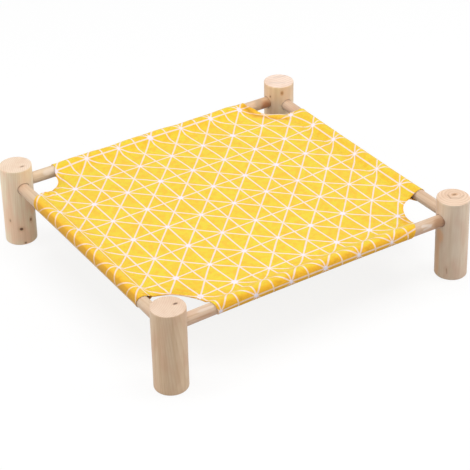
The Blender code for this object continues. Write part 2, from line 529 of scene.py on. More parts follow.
    @staticmethod
    def _nudged(graph: Graph, own: Link, clouds: Number) -> Link:
        """The piece's own point, moved a little so that marks aren't true ellipses."""
        shift = (clouds - 0.5) * 0.0012
        return graph.vector("ADD", own, graph.join(shift, shift, shift))


@dataclass(frozen=True)
class PrintedCotton:
    """Plain-woven cotton with a grid of lines and a blot where they cross.

    Lines run along the side rails every half period, along the long rails every period, and both ways
    across the corners of each period.
    """

    name: str
    period: tuple[float, float] = (0.0496, 0.0497)
    star: tuple[float, float] = (-0.0009, -0.0102)  # one crossing, from the bed's middle
    line_width: float = 0.0019
    line_edge: float = 0.00045
    blot_radius: float = 0.0029
    blot_spread: float = 0.0010
    ground: Colour = paint(238, 214, 58)
    ground_shade: Colour = paint(243, 186, 52)
    # Painted shade: the orange drawn round the rails, the brown drawn in creases, and the pinker lines there
    painted_shade_orange: Colour = paint(243, 181, 38)
    painted_crease_shade: Colour = paint(168, 116, 30)
    line: Colour = paint(245, 224, 216)
    painted_shade_line: Colour = paint(246, 211, 176)
    blot: Colour = paint(243, 232, 243)
    cloud_depth: float = 0.30               # how strongly large clouds shade the ground
    patch_depth: float = 0.60               # and small patches
    yarn_depth: float = 0.35                # and thick yarns
    thread: float = 0.00042                 # pitch of the weave
    strength: float = 1.0                   # of the print: the back of the cloth shows less of it
    wash: float = 0.0                       # how much of the washed colour lies over the whole
    washed: Colour = paint(252, 244, 214)   # of the cloth's back

    def build(self) -> bpy.types.Material:
        """Make the material.

        Returns:
            The material.
        """
        material = bpy.data.materials.new(self.name)
        graph = Graph(material)
        flat = graph.link(graph.node("ShaderNodeUVMap", {"uv_map": CLOTH_MAP}))
        u, v, _ = graph.split(graph.vector("MULTIPLY", flat, (PER_METRE,) * 3))
        place = graph.join(u, v, 0.0)
        lines, blots = self._print(graph, u, v, place)
        yarn = graph.noise(graph.vector("MULTIPLY", place, (0.16, 1.9, 1.0)), 1.0, 2.0, 0.6)
        weft = graph.noise(graph.vector("MULTIPLY", place, (1.9, 0.16, 1.0)), 1.0, 2.0, 0.6)
        uneven = (yarn + weft) * 0.5
        shade = graph.number(graph.node("ShaderNodeAttribute", {"attribute_name": PAINTED_SHADE}), "Fac")
        # Painted shade on the lines: pinker round the rails and browner in creases
        line = graph.mix(shade * 0.7, self.line, self.painted_shade_line)
        line = graph.mix((shade - 1.0) * 0.6, line, self.painted_crease_shade)
        inked = graph.mix(lines * self.strength, self._ground(graph, place, uneven, shade), line)
        inked = graph.mix(blots * self.strength, inked, self.blot)

        pitch = math.pi / (self.thread * PER_METRE)
        weave = (u * pitch).sine() * (v * pitch).sine() * 0.5 + 0.5
        relief = weave * 0.75 + uneven * 0.5 - lines * 0.08
        graph.surface({
            "Base Color": graph.mix(self.wash, inked, self.washed),
            "Roughness": 0.84 + uneven * 0.12 - lines * 0.10,
            "Specular IOR Level": 0.22,
            "Sheen Weight": 0.12,
            "Sheen Roughness": 0.6,
            "Normal": graph.bump(relief, 0.00012, 0.6),
        })
        return material

    def _print(self, graph: Graph, u: Number, v: Number, place: Link) -> tuple[Number, Number]:
        """The printed grid.

        Args:
            graph: The material's nodes.
            u: The print's own x, in millimetres.
            v: The print's own y, in millimetres.
            place: Both as a vector.

        Returns:
            1 on the lines and 1 on the blots at their crossings, each 0 elsewhere.
        """
        wander = graph.noise(place, 0.06, 1.0) - 0.5
        ragged = graph.noise(place, 1.1, 2.0, 0.7) - 0.5
        period_u, period_v = (size * PER_METRE for size in self.period)
        across = (u - self.star[0] * PER_METRE) / period_u
        along = (v - self.star[1] * PER_METRE) / period_v
        slant = 1 / math.hypot(1 / period_u, 1 / period_v)
        nearest = self._off(across * 2, period_u / 2)
        nearest = nearest.least(self._off(along, period_v))
        nearest = nearest.least(self._off(along + across, slant))
        nearest = nearest.least(self._off(along - across, slant))
        half = self.line_width / 2 * PER_METRE
        edge = self.line_edge * PER_METRE
        lines = (nearest + ragged * 0.45 + wander * 0.5).fade(half + edge, half - edge)

        cell = graph.join((across + 0.5).whole(), (along + 0.5).whole(), 0.0)
        scatter = graph.node("ShaderNodeTexWhiteNoise", {"noise_dimensions": "3D"}, {"Vector": cell})
        from_u = ((across + 0.5).part() - 0.5) * period_u
        from_v = ((along + 0.5).part() - 0.5) * period_v
        reach = graph.length(graph.join(from_u, from_v, 0.0)) + ragged * 1.4 + wander * 2.0
        spread = self.blot_spread * PER_METRE
        own = graph.number(scatter) * spread * 2 - spread + self.blot_radius * PER_METRE
        return lines, (reach - own).fade(0.7, -0.7)

    def _ground(self, graph: Graph, place: Link, uneven: Number, shade: Number) -> Link:
        """The dyed yellow between the lines.

        Args:
            graph: The material's nodes.
            place: The print's own point, in millimetres.
            uneven: How thick the yarns are there.
            shade: How much painted shade the cloth has there.

        Returns:
            The colour, mottled, with painted shade over it: orange round the rails, and brown in the creases
            and in patches that stand in for the shade of small wrinkles.
        """
        clouds = graph.noise(place, 0.018, 2.0)
        patches = graph.noise(place, 0.11, 3.0, 0.65)
        ground = graph.mix(clouds.fade(0.35, 0.70) * self.cloud_depth, self.ground, self.ground_shade)
        ground = graph.mix(patches.fade(0.42, 0.62) * self.patch_depth, ground, self.ground_shade)
        ground = graph.mix(uneven.fade(0.40, 0.75) * self.yarn_depth, ground, self.ground_shade)
        # Painted shade: orange round the rails, brown in creases and in patches for the shade of small
        # wrinkles
        ground = graph.mix(shade, ground, self.painted_shade_orange)
        return graph.mix((shade - 1.0).most(patches.fade(0.50, 0.66) * shade * 0.22), ground, self.painted_crease_shade)

    @staticmethod
    def _off(count: Number, spacing: float) -> Number:
        """How far a point is from the nearest of evenly spaced lines.

        Args:
            count: The point's place, in spacings from one of the lines.
            spacing: The distance from line to line, in millimetres.

        Returns:
            The distance, in millimetres.
        """
        return abs((count + 0.5).part() - 0.5) * spacing


@dataclass(frozen=True)
class ThreadFinish:
    """Twisted polyester sewing thread."""

    name: str
    light: Colour = paint(250, 214, 84)
    dark: Colour = paint(244, 200, 58)
    slant: float = 1.7          # how steeply the twist climbs
    twists: float = 9.0         # radians of twist for each millimetre
    fuzz_size: float = 6.0      # how many times finer than a millimetre the fuzz is
    twist_share: float = 0.6    # of the colour's change, the rest is fuzz
    twist_depth: float = 0.00008

    def build(self) -> bpy.types.Material:
        """Make the material.

        Returns:
            The material.
        """
        material = bpy.data.materials.new(self.name)
        graph = Graph(material)
        own = graph.link(graph.node("ShaderNodeTexCoord"), "Object")
        x, y, z = graph.split(graph.vector("MULTIPLY", own, (PER_METRE,) * 3))
        twist = ((x + y + z * self.slant) * self.twists).sine() * 0.5 + 0.5
        fuzz = graph.noise(graph.join(x, y, z), self.fuzz_size, 2.0)
        share = twist * self.twist_share + fuzz * (1.0 - self.twist_share)
        graph.surface({
            "Base Color": graph.mix(share, self.light, self.dark),
            "Roughness": 0.55 + fuzz * 0.2,
            "Sheen Weight": 0.1,
            "Normal": graph.bump(twist, self.twist_depth, 0.5),
        })
        return material


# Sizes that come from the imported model


@dataclass(frozen=True)
class BedSizes:
    """The frame's main sizes."""

    half_x: float               # from the bed's middle to the side rails' axes
    half_y: float               # to the long rails' axes
    leg_radius: float
    leg_height: float
    rail_radius: float
    rail_height: float          # of the rails' axes

    @classmethod
    def measured(cls) -> "BedSizes":
        """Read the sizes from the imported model's boxes.

        Returns:
            The sizes.
        """
        low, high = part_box("leg_front_right")
        rail_low, rail_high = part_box("rail_front")
        return cls(
            half_x=(low.x + high.x) / 2,
            half_y=-(low.y + high.y) / 2,
            leg_radius=(high.x - low.x) / 2,
            leg_height=high.z,
            rail_radius=(rail_high.z - rail_low.z) / 2,
            rail_height=(rail_high.z + rail_low.z) / 2,
        )


@dataclass(frozen=True)
class RailSeat:
    """How a rail of this bed sits, a little off the drawing."""

    lift: float                 # how much higher its sockets were drilled
    bow: float                  # how far the stretched cloth pulls its middle inward
    slack: float                # how far the cloth's sleeve stands off it
    painted_shade_warmth: float = 0.0         # painted shade: how much more orange the cloth is drawn round it
    tilt: float = 0.0           # how much higher than its middle its back or right end is


def new_piece(name: str, points: np.ndarray, faces: list[tuple[int, ...]],
              materials: list[bpy.types.Material], place: Place = (0.0, 0.0, 0.0),
              turn: float = 0.0) -> bpy.types.Object:
    """A mesh piece, smooth shaded, in the scene.

    Args:
        name: The piece's name.
        points: One row for each vertex, from the piece's own origin.
        faces: The vertices of each face.
        materials: The materials, in slot order.
        place: Where the piece's origin is.
        turn: How far it is turned about Z, in radians.

    Returns:
        The piece.
    """
    mesh = bpy.data.meshes.new(name)
    mesh.from_pydata([tuple(point) for point in points], [], faces)
    for material in materials:
        mesh.materials.append(material)
    mesh.shade_smooth()
    piece = in_scene(name, mesh)
    piece.location = place
    piece.rotation_euler = (0.0, 0.0, turn)
    return piece


def ring_faces(rows: int, around: int) -> list[tuple[int, ...]]:
    """Faces of a closed turned shape: rows of points round an axis, with an end point before and after.

    Args:
        rows: The number of rows.
        around: The number of points in a row.

    Returns:
        The faces.
    """
    faces: list[tuple[int, ...]] = []
    last = 1 + rows * around
    for step in range(around):
        following = (step + 1) % around
        faces.append((0, 1 + following, 1 + step))
        end = 1 + (rows - 1) * around
        faces.append((last, end + step, end + following))
        for row in range(rows - 1):
            low = 1 + row * around
            high = low + around
            faces.append((low + step, low + following, high + following, high + step))
    return faces


# Wooden pieces


@dataclass
class PineLeg:
    """A turned pine leg with an eased rim and a blind socket for each of its two rails."""

    node: str
    side_x: int
    side_y: int
    sizes: BedSizes
    finish: PineFinish
    seats: dict[str, RailSeat]
    lean: tuple[float, float] = (0.0, 0.0)      # how far the foot stands off, below the rails
    rim: float = 0.0011                         # radius of the eased rims
    wobble: float = 0.00028                     # how far the side leaves a true round
    slow: tuple[float, float] = (1.1, 14.0)     # how fast it wobbles, around and along the leg
    fast: tuple[float, float] = (4.5, 60.0)     # and the finer wobble on it
    dent: float = 0.00025                       # how deep the side sinks at a mark
    around: int = 160
    row_height: float = 0.002
    face_rings: tuple[float, ...] = (0.12, 0.3, 0.5, 0.7, 0.86)
    socket_play: float = 0.0005
    socket_depth: float = 0.0112
    socket_sides: int = 64
    overshoot: float = 0.006                    # how far a socket's cutter stands out of the leg
    piece: bpy.types.Object | None = field(default=None, init=False)

    @property
    def axis(self) -> Place:
        """The middle of the leg's foot."""
        return (self.side_x * self.sizes.half_x, self.side_y * self.sizes.half_y, 0.0)

    def _profile(self) -> list[tuple[float, float]]:
        """Radius and height of each row of points, from the foot's middle up the side to the top's middle."""
        radius, height = self.sizes.leg_radius, self.sizes.leg_height
        face = [radius * share for share in self.face_rings]
        rim = [(radius - self.rim * (1 - math.sin(a)), self.rim * (1 - math.cos(a)))
               for a in (math.radians(step) for step in (0, 22, 45, 68, 90))]
        rows = [(r, 0.0) for r in face] + rim
        count = round((height - 2 * self.rim) / self.row_height)
        step = (height - 2 * self.rim) / count
        rows += [(radius, self.rim + step * row) for row in range(1, count)]
        rows += [(r, height - z) for r, z in reversed(rim)]
        rows += [(r, height) for r in reversed(face)]
        return rows

    def _shape(self) -> tuple[np.ndarray, list[tuple[int, ...]]]:
        """The leg's points and faces before its sockets are cut."""
        height, radius = self.sizes.leg_height, self.sizes.leg_radius
        offset = Vector(self.finish.seed)
        points: list[Place] = [(0.0, 0.0, 0.0)]
        profile = self._profile()
        for row_radius, z in profile:
            side = max(0.0, min(1.0, (row_radius / radius - self.face_rings[-1]) / 0.1))
            for step in range(self.around):
                angle = 2 * math.pi * step / self.around
                x, y = math.cos(angle), math.sin(angle)
                slow, fast = (noise.noise(Vector((x * around, y * around, z * along)) + offset)
                              for around, along in (self.slow, self.fast))
                reach = row_radius - self.wobble * (0.35 + 0.5 * slow + 0.15 * fast) * side
                for mark in self.finish.marks:
                    away = (Vector((x * row_radius, y * row_radius, z)) - Vector(mark.place)).length
                    reach -= self.dent * math.exp(-(away / (1.2 * max(mark.reach))) ** 2) * side
                points.append((x * reach, y * reach, z))
        points.append((0.0, 0.0, height))
        leaning = np.array(points)
        share = 1 - leaning[:, 2:] / self.sizes.rail_height
        leaning[:, :2] += share * np.array(self.lean)
        return leaning, ring_faces(len(profile), self.around)

    def _cut_sockets(self) -> None:
        """Cut the two blind sockets out of the leg."""
        radius = self.sizes.rail_radius + self.socket_play
        length = self.socket_depth + self.overshoot
        middle = self.sizes.leg_radius + self.overshoot - length / 2
        cutters = []
        long_rail = "front" if self.side_y < 0 else "back"
        side_rail = "left" if self.side_x < 0 else "right"
        ways = ((long_rail, -self.side_x, 0, 0.0), (side_rail, 0, -self.side_y, math.pi / 2))
        for label, x, y, turn in ways:
            mesh = bpy.data.meshes.new(f"{self.node}_{label}_cutter")
            shape = bmesh.new()
            bmesh.ops.create_cone(shape, cap_ends=True, segments=self.socket_sides, radius1=radius,
                                  radius2=radius, depth=length)
            shape.to_mesh(mesh)
            shape.free()
            cutter = in_scene(mesh.name, mesh)
            ax, ay, _ = self.axis
            end = self.side_x if label == long_rail else self.side_y
            seat = self.seats[label]
            height = self.sizes.rail_height + seat.lift + seat.tilt * end
            cutter.location = (ax + x * middle, ay + y * middle, height)
            cutter.rotation_euler = (0.0, math.pi / 2, turn)
            cut = self.piece.modifiers.new(label, "BOOLEAN")
            cut.operation = "DIFFERENCE"
            cut.solver = "EXACT"
            cut.object = cutter
            cutters.append(cutter)
        bpy.context.view_layer.update()
        graph = bpy.context.evaluated_depsgraph_get()
        cut_mesh = bpy.data.meshes.new_from_object(self.piece.evaluated_get(graph))
        self.piece.modifiers.clear()
        self.piece.data = cut_mesh
        cut_mesh.shade_smooth()
        cut_mesh.set_sharp_from_angle(angle=SHARP)
        for cutter in cutters:
            bpy.data.objects.remove(cutter, do_unlink=True)

    def build(self) -> bpy.types.Object:
        """Make the leg in its CAD node's place.

        Returns:
            The leg.
        """
        points, faces = self._shape()
        name = self.node.replace("leg", "pine_leg")
        self.piece = new_piece(name, points, faces, [self.finish.build()], self.axis)
        self._cut_sockets()
        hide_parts(self.node)
        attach(self.piece, BODY)
        return self.piece


@dataclass
class DowelRail:
    """A dowel between two legs, slightly uneven and bowed by the cloth, with chamfered ends."""

    node: str
    sizes: BedSizes
    finish: PineFinish
    seat: RailSeat
    chamfer: float = 0.0008
    worn: float = 0.0001                        # sanded off its radius
    wobble: float = 0.00018                     # how far its side leaves a true round
    slow: tuple[float, float] = (1.2, 22.0)     # how fast it wobbles, around and along the rail
    around: int = 56
    row_length: float = 0.004

    def build(self) -> bpy.types.Object:
        """Make the rail in its CAD node's place.

        Returns:
            The rail.
        """
        low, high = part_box(self.node)
        middle = (low + high) / 2
        along_x = (high.x - low.x) > (high.y - low.y)
        half = max(high.x - low.x, high.y - low.y) / 2
        radius = self.sizes.rail_radius - self.worn
        offset = Vector(self.finish.seed)
        count = round(2 * (half - self.chamfer) / self.row_length)
        rows = [(-half, radius * 0.5), (-half, radius - self.chamfer)]
        rows += [(-half + self.chamfer + 2 * (half - self.chamfer) * row / count, radius)
                 for row in range(count + 1)]
        rows += [(half, radius - self.chamfer), (half, radius * 0.5)]
        points: list[Place] = [(-half, 0.0, 0.0)]
        inward = 1 if self.node in ("rail_front", "rail_right") else -1
        for x, row_radius in rows:
            bow = inward * self.seat.bow * (1 - (x / half) ** 2)
            for step in range(self.around):
                angle = 2 * math.pi * step / self.around
                y, z = math.cos(angle), math.sin(angle)
                across, along = self.slow
                uneven = noise.noise(Vector((x * along, y * across, z * across)) + offset)
                reach = row_radius - self.wobble * (0.5 + 0.5 * uneven)
                points.append((x, y * reach + bow, z * reach + self.seat.tilt * x / half))
        points.append((half, 0.0, 0.0))
        middle.z += self.seat.lift
        name = self.node.replace("rail", "dowel_rail")
        piece = new_piece(name, np.array(points), ring_faces(len(rows), self.around),
                          [self.finish.build()], tuple(middle), 0.0 if along_x else math.pi / 2)
        piece.data.set_sharp_from_angle(angle=SHARP)
        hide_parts(self.node)
        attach(piece, BODY)
        return piece


# The cover


@dataclass(frozen=True)
class CornerCut:
    """How one corner of the flat cut is scooped out round its leg.

    Reaches are measured from the leg's axis along the long rail (x) and the side rail (y). A scoop is a
    quarter of an oval. The sleeves end where the rails show, some of them at a slant.
    """

    side_x: int
    side_y: int
    scoop_x: float
    scoop_y: float
    sleeve_x: float
    sleeve_y: float
    power: float = 2.0          # of the oval: above 2 it fills its corner more
    slant_x: float = 0.0        # how far a sleeve's end moves off the leg for each metre round the rail
    slant_y: float = 0.0
    rim: float = 1.0            # painted shade: how dark the hem's edge is drawn

    def holds(self, u: np.ndarray, v: np.ndarray) -> np.ndarray:
        """Which points of the flat cut lie in this corner's quarter of it."""
        return (u * self.side_x > 0) & (v * self.side_y > 0)

    def beside(self, a: np.ndarray, b: np.ndarray) -> tuple[np.ndarray, np.ndarray]:
        """Where points lie beside the scooped edge.

        Args:
            a: Distances from the side rail's axis.
            b: Distances from the long rail's axis.

        Returns:
            The distance from the edge in millimetres, and the angle along it, 0 by the long rail.
        """
        across, along = np.maximum(a, 1e-6) / self.scoop_x, np.maximum(b, 1e-6) / self.scoop_y
        level = (across ** self.power + along ** self.power) ** (1 / self.power) - 1
        return level * (self.scoop_x + self.scoop_y) / 2 * PER_METRE, np.arctan2(along, across)


class SleeveFold:
    """The cloth's path across a rail: off the sheet, round the rail and back under the sheet."""

    def __init__(self, rail_radius: float, thickness: float, bend: float = 0.0155, lead: float = 0.012,
                 flap: float = 0.008, sheet_rise: float = 0.00055, flap_drop: float = 0.00065,
                 softness: float = 0.0009, gap: float = 0.00008, run_out: float = 0.01) -> None:
        """Work out the path.

        Args:
            rail_radius: The rail's radius.
            thickness: The cloth's thickness.
            bend: How far in from the rail's axis the sheet turns up on to the rail.
            lead: Length of flat sheet before the bend that belongs to the path.
            flap: Width of the edge that is sewn under the sheet.
            sheet_rise: Height of the sheet's middle above the rail's axis.
            flap_drop: Depth of the flap's middle below the rail's axis.
            softness: How far the bends are rounded.
            gap: How far the cloth stands off the rail, besides a little of its thickness.
            run_out: Spare length at both ends, which the rounding needs and the path then loses.
        """
        self.start = bend + lead
        self.bend, self.lead = bend, lead
        radius = rail_radius + 0.6 * thickness + gap
        upper = math.atan2(sheet_rise, bend) + math.acos(radius / math.hypot(bend, sheet_rise))
        lower = math.atan2(flap_drop, bend) + math.acos(radius / math.hypot(bend, flap_drop))
        turns = np.linspace(upper, 2 * math.pi - lower, 240)
        path = [(self.start + run_out, sheet_rise), (bend, sheet_rise)]
        path += [(radius * math.cos(turn), radius * math.sin(turn)) for turn in turns]
        path += [(bend, -flap_drop), (bend + flap + run_out, -flap_drop)]
        drawn = np.array(path)
        line = points_at(drawn, np.arange(0.0, lengths_along(drawn)[-1], FOLD_STEP))
        reach = round(3 * softness / FOLD_STEP)
        weights = bell(np.arange(-reach, reach + 1) * FOLD_STEP, softness)
        weights /= weights.sum()
        padded = np.pad(line, ((reach, reach), (0, 0)), mode="edge")
        soft = np.stack([np.convolve(padded[:, axis], weights, mode="valid") for axis in (0, 1)], 1)
        first = np.argmax(soft[:, 0] <= self.start)
        last = len(soft) - np.argmax(soft[::-1, 0] <= bend + flap)
        soft = soft[first:last]
        self.along = lengths_along(soft)
        self.inward, self.height = soft[:, 0], soft[:, 1]
        self.length = float(self.along[-1])
        self.slope_in = np.gradient(self.inward, self.along)
        self.slope_up = np.gradient(self.height, self.along)
        self.sheet_rise = sheet_rise

    def at(self, along: np.ndarray) -> tuple[np.ndarray, np.ndarray, np.ndarray, np.ndarray]:
        """The cloth's middle and its outward normal.

        Args:
            along: Distances along the cloth from the path's start.

        Returns:
            Distance in from the rail's axis, height above it, and the normal's two parts.
        """
        inward = np.interp(along, self.along, self.inward)
        height = np.interp(along, self.along, self.height)
        slope_in = np.interp(along, self.along, self.slope_in)
        slope_up = np.interp(along, self.along, self.slope_up)
        size = np.hypot(slope_in, slope_up)
        return inward, height, slope_up / size, -slope_in / size


@dataclass(frozen=True)
class Pucker:
    """A pinched fold of the cloth at a corner, where it was sewn unevenly.

    Places are distances from the rails' axes, as in a corner's cut, in millimetres.
    """

    side_x: int
    side_y: int
    start: tuple[float, float]
    end: tuple[float, float]
    width: float
    height: float               # a valley's is below 0
    painted_shade_tint: float = 0.0           # painted shade in the fold: how orange, and past 1 how brown, it is drawn

    def _near(self, a: np.ndarray, b: np.ndarray) -> np.ndarray:
        """1 on the fold's line and 0 away from it."""
        start, run = np.array(self.start), np.array(self.end) - np.array(self.start)
        from_a, from_b = a * PER_METRE - start[0], b * PER_METRE - start[1]
        share = np.clip((from_a * run[0] + from_b * run[1]) / (run @ run), 0, 1)
        off = np.hypot(from_a - share * run[0], from_b - share * run[1])
        return bell(off, self.width)

    def rise(self, a: np.ndarray, b: np.ndarray) -> np.ndarray:
        """Its height over the cloth, in millimetres."""
        return self.height * self._near(a, b)

    def shade(self, a: np.ndarray, b: np.ndarray) -> np.ndarray:
        """How much painted shade is drawn in it."""
        return self.painted_shade_tint * self._near(a, b)


@dataclass(frozen=True)
class FlatCut:
    """The cloth as it was cut, filled with triangles."""

    points: np.ndarray                      # the edge's first, then those of the hem's line
    triangles: list[tuple[int, ...]]
    inner: list[bool]                       # whether each triangle lies inside the hem's line
    edge_end: int                           # how many points the edge has
    line_end: int                           # how many the edge and the hem's line have


@dataclass(frozen=True)
class Looseness:
    """How far the cloth stands out of its drawn path, in millimetres."""

    wave: float = 0.16          # slow waves over the sheet
    small_wave: float = 0.09
    gather: float = 0.10        # short waves beside the seams
    seam_dip: float = 0.16      # where the stitches hold the sheet down
    mouth: float = 0.50         # at the sleeves' open ends
    swell: float = 0.75         # a little in from a scooped corner's edge
    edge_dip: float = 0.55      # along that edge
    ripple: float = 0.30        # across that edge


@dataclass
class Cover:
    """The printed cotton cover, from its flat cut to its folded and sewn form."""

    sizes: BedSizes
    seats: dict[str, RailSeat]
    corners: tuple[CornerCut, ...]
    finishes: tuple[PrintedCotton, PrintedCotton]       # the printed face and the back
    puckers: tuple[Pucker, ...] = ()
    loose: Looseness = Looseness()
    thickness: float = 0.00045
    hem: float = 0.006
    grid: float = 0.0035                                # mesh spacing on the sheet
    fine: float = 0.0012                                # and round the rails
    flare: float = 0.014                                # where a scoop turns into a sleeve's end
    fold: SleeveFold = field(init=False)
    flat_x: float = field(init=False)                   # from the middle to the path round a rail
    flat_y: float = field(init=False)
    edge_x: float = field(init=False)                   # from the middle to the cloth's edge
    edge_y: float = field(init=False)

    def __post_init__(self) -> None:
        """Work out the path round a rail and the flat cut's half sizes."""
        self.fold = SleeveFold(self.sizes.rail_radius, self.thickness)
        self.flat_x = self.sizes.half_x - self.fold.start
        self.flat_y = self.sizes.half_y - self.fold.start
        self.edge_x = self.flat_x + self.fold.length
        self.edge_y = self.flat_y + self.fold.length

    # The flat cut. u and v are the cloth's own x and y, from the bed's middle.

    def _corner(self, u: np.ndarray, v: np.ndarray) -> tuple[np.ndarray, np.ndarray]:
        """Distances along the cloth from the rails' axes, which a corner's cut is measured in."""
        return self.sizes.half_x - np.abs(u), self.sizes.half_y - np.abs(v)

    def _flare(self, depth: np.ndarray, size: float) -> np.ndarray:
        """How far a scoop's edge moves to meet a sleeve's end, at a depth inside the rail's axis."""
        return size * smooth(1 - depth / self.flare)

    def _scoop(self, cut: CornerCut, inset: float, turn: np.ndarray) -> np.ndarray:
        """A corner's scooped edge.

        Args:
            cut: The corner.
            inset: How far in from the edge.
            turn: Angles along the oval, from the side rail at 0 to the long rail at a right angle.

        Returns:
            One row for each point, of its distances from the rails' axes.
        """
        a = (cut.scoop_x + inset) * np.sin(turn) ** (2 / cut.power)
        b = (cut.scoop_y + inset) * np.cos(turn) ** (2 / cut.power)
        return np.stack([a + self._flare(b, cut.sleeve_x - cut.scoop_x),
                         b + self._flare(a, cut.sleeve_y - cut.scoop_y)], 1)

    def _inside(self, u: np.ndarray, v: np.ndarray, inset: float) -> np.ndarray:
        """Which points of the flat plane lie on the cloth, at least about inset from its edge."""
        a, b = self._corner(u, v)
        kept = (np.abs(u) < self.edge_x - inset) & (np.abs(v) < self.edge_y - inset)
        for cut in self.corners:
            across = np.maximum(a - self._flare(b, cut.sleeve_x - cut.scoop_x), 0) / (cut.scoop_x + inset)
            along = np.maximum(b - self._flare(a, cut.sleeve_y - cut.scoop_y), 0) / (cut.scoop_y + inset)
            out = (a >= 0) & (b >= 0) & (across ** cut.power + along ** cut.power < 1)
            out |= (a < 0) & (b < cut.sleeve_y - a * cut.slant_y + inset)
            out |= (b < 0) & (a < cut.sleeve_x - b * cut.slant_x + inset)
            kept &= ~(cut.holds(u, v) & out)
        return kept

    def _outline(self, inset: float, step: float) -> np.ndarray:
        """The cut's edge, moved in by inset.

        Args:
            inset: How far in from the edge.
            step: The distance between points.

        Returns:
            The points, anticlockwise and closed.
        """
        loop: list[np.ndarray] = []
        order = [(1, -1), (1, 1), (-1, 1), (-1, -1)]
        for side_x, side_y in order:
            cut = next(c for c in self.corners if (c.side_x, c.side_y) == (side_x, side_y))
            out_a = -(self.edge_x - inset - self.sizes.half_x)
            out_b = -(self.edge_y - inset - self.sizes.half_y)
            a = np.linspace(out_a, 0, END_POINTS, endpoint=False)
            side_run = np.stack([a, cut.sleeve_y - a * cut.slant_y + inset], 1)
            scoop = self._scoop(cut, inset, np.linspace(0, math.pi / 2, SCOOP_POINTS))
            b = np.linspace(0, out_b, END_POINTS)[1:]
            long_run = np.stack([cut.sleeve_x - b * cut.slant_x + inset, b], 1)
            path = np.concatenate([side_run, scoop, long_run])
            ordered = path if side_x == side_y else path[::-1]
            points = np.stack([side_x * (self.sizes.half_x - ordered[:, 0]),
                               side_y * (self.sizes.half_y - ordered[:, 1])], 1)
            loop.append(self._even(points, step))
        joined: list[np.ndarray] = []
        for index, run in enumerate(loop):
            joined.append(run)
            start, end = run[-1], loop[(index + 1) % 4][0]
            count = max(2, round(np.linalg.norm(end - start) / self.grid))
            joined.append(start + (end - start) * (np.arange(1, count)[:, None] / count))
        return np.concatenate(joined)

    @staticmethod
    def _even(points: np.ndarray, step: float) -> np.ndarray:
        """The same line with points about step apart, both ends kept."""
        length = lengths_along(points)[-1]
        return points_at(points, np.linspace(0, length, max(2, round(length / step)) + 1))

    def _spacing(self, flat: float, edge: float) -> np.ndarray:
        """Grid lines across the cloth: wide on the sheet, close round the rails."""
        sheet = np.linspace(-flat, flat, 2 * round(flat / self.grid) + 1)
        roll = np.linspace(flat, edge, round((edge - flat) / self.fine) + 1)[1:]
        return np.concatenate([-roll[::-1], sheet, roll])

    def _sides(self, u: np.ndarray, v: np.ndarray) -> list[tuple[str, np.ndarray, np.ndarray, np.ndarray]]:
        """How points of the flat cut lie to each rail.

        Args:
            u: The cloth's own x.
            v: The cloth's own y.

        Returns:
            For each rail its name, the depth inside its axis, the place along it, and which points are on
            its side of the bed.
        """
        a, b = self._corner(u, v)
        return [("front", b, u, v < 0), ("back", b, u, v > 0), ("left", a, v, u < 0), ("right", a, v, u > 0)]

    # The folded form

    def rise(self, u: np.ndarray, v: np.ndarray) -> np.ndarray:
        """How far the cloth stands out of its drawn path: slack on the rolls, puckers and dips at the seams.

        Args:
            u: The cloth's own x.
            v: The cloth's own y.

        Returns:
            The distance along the outward normal, in metres.
        """
        a, b = self._corner(u, v)
        total = self._waves(u, v)
        total += self._seam(a, v, np.where(u > 0, 1, -1)) + self._seam(b, u, np.where(v > 0, 3, -3))
        for name, depth, along, on_side in self._sides(u, v):
            mm = along * PER_METRE
            swell = 0.55 + 0.3 * np.sin(mm / 21 + 2.0) + 0.15 * np.sin(mm / 8.5)
            slack = self.seats[name].slack * PER_METRE * swell * self._round_rail(depth) * self._loose(u, v)
            total += np.where(on_side, slack, 0.0)
        for cut in self.corners:
            quarter = cut.holds(u, v)
            total += np.where(quarter, self._mouths(cut, a, b), 0.0)
            total += np.where(quarter & (a > 0) & (b > 0), self._scoop_waves(cut, a, b), 0.0)
        for pucker in self.puckers:
            total += pucker.rise(*self._corner_of(pucker, u, v))
        return total / PER_METRE

    def _waves(self, u: np.ndarray, v: np.ndarray) -> np.ndarray:
        """Slow waves of the sheet in millimetres, which die out at the rails."""
        a, b = self._corner(u, v)
        mm_u, mm_v = u * PER_METRE, v * PER_METRE
        waves = self.loose.wave * np.sin(mm_u / 41 + 1.1) * np.sin(mm_v / 36 + 0.4)
        waves += self.loose.small_wave * np.sin(mm_u / 19 + mm_v / 27)
        return waves * smooth((np.minimum(a, b) - self.fold.bend) / 0.02)

    def _seam(self, depth: np.ndarray, along: np.ndarray, phase: np.ndarray) -> np.ndarray:
        """The gathers and the dip at the seams of two rails that face each other.

        Args:
            depth: The depth inside the nearer rail's axis.
            along: The place along the rails.
            phase: What sets one rail's gathers apart from the other's.

        Returns:
            The height, in millimetres.
        """
        inner, mm = (depth - self.fold.bend) * PER_METRE, along * PER_METRE
        gathers = np.sin(mm / 2.3 + 1.7 * np.sin(mm / 17 + phase)) * 0.6 + np.sin(mm / 5.1 + phase) * 0.4
        near = np.exp(-np.abs(inner - 1) / 6.0) * (inner > -7)
        return self.loose.gather * gathers * near - self.loose.seam_dip * bell(inner - 3.0, 1.3)

    def _mouths(self, cut: CornerCut, a: np.ndarray, b: np.ndarray) -> np.ndarray:
        """How far a corner's two sleeves stand open at their ends, in millimetres."""
        open_by = np.zeros(len(a))
        for depth, reach, end in ((a, b, cut.sleeve_y + np.maximum(-a, 0) * cut.slant_y),
                                  (b, a, cut.sleeve_x + np.maximum(-b, 0) * cut.slant_x)):
            open_by += np.exp(-np.maximum(reach - end, 0) / 0.0035) * self._round_rail(depth)
        return self.loose.mouth * open_by

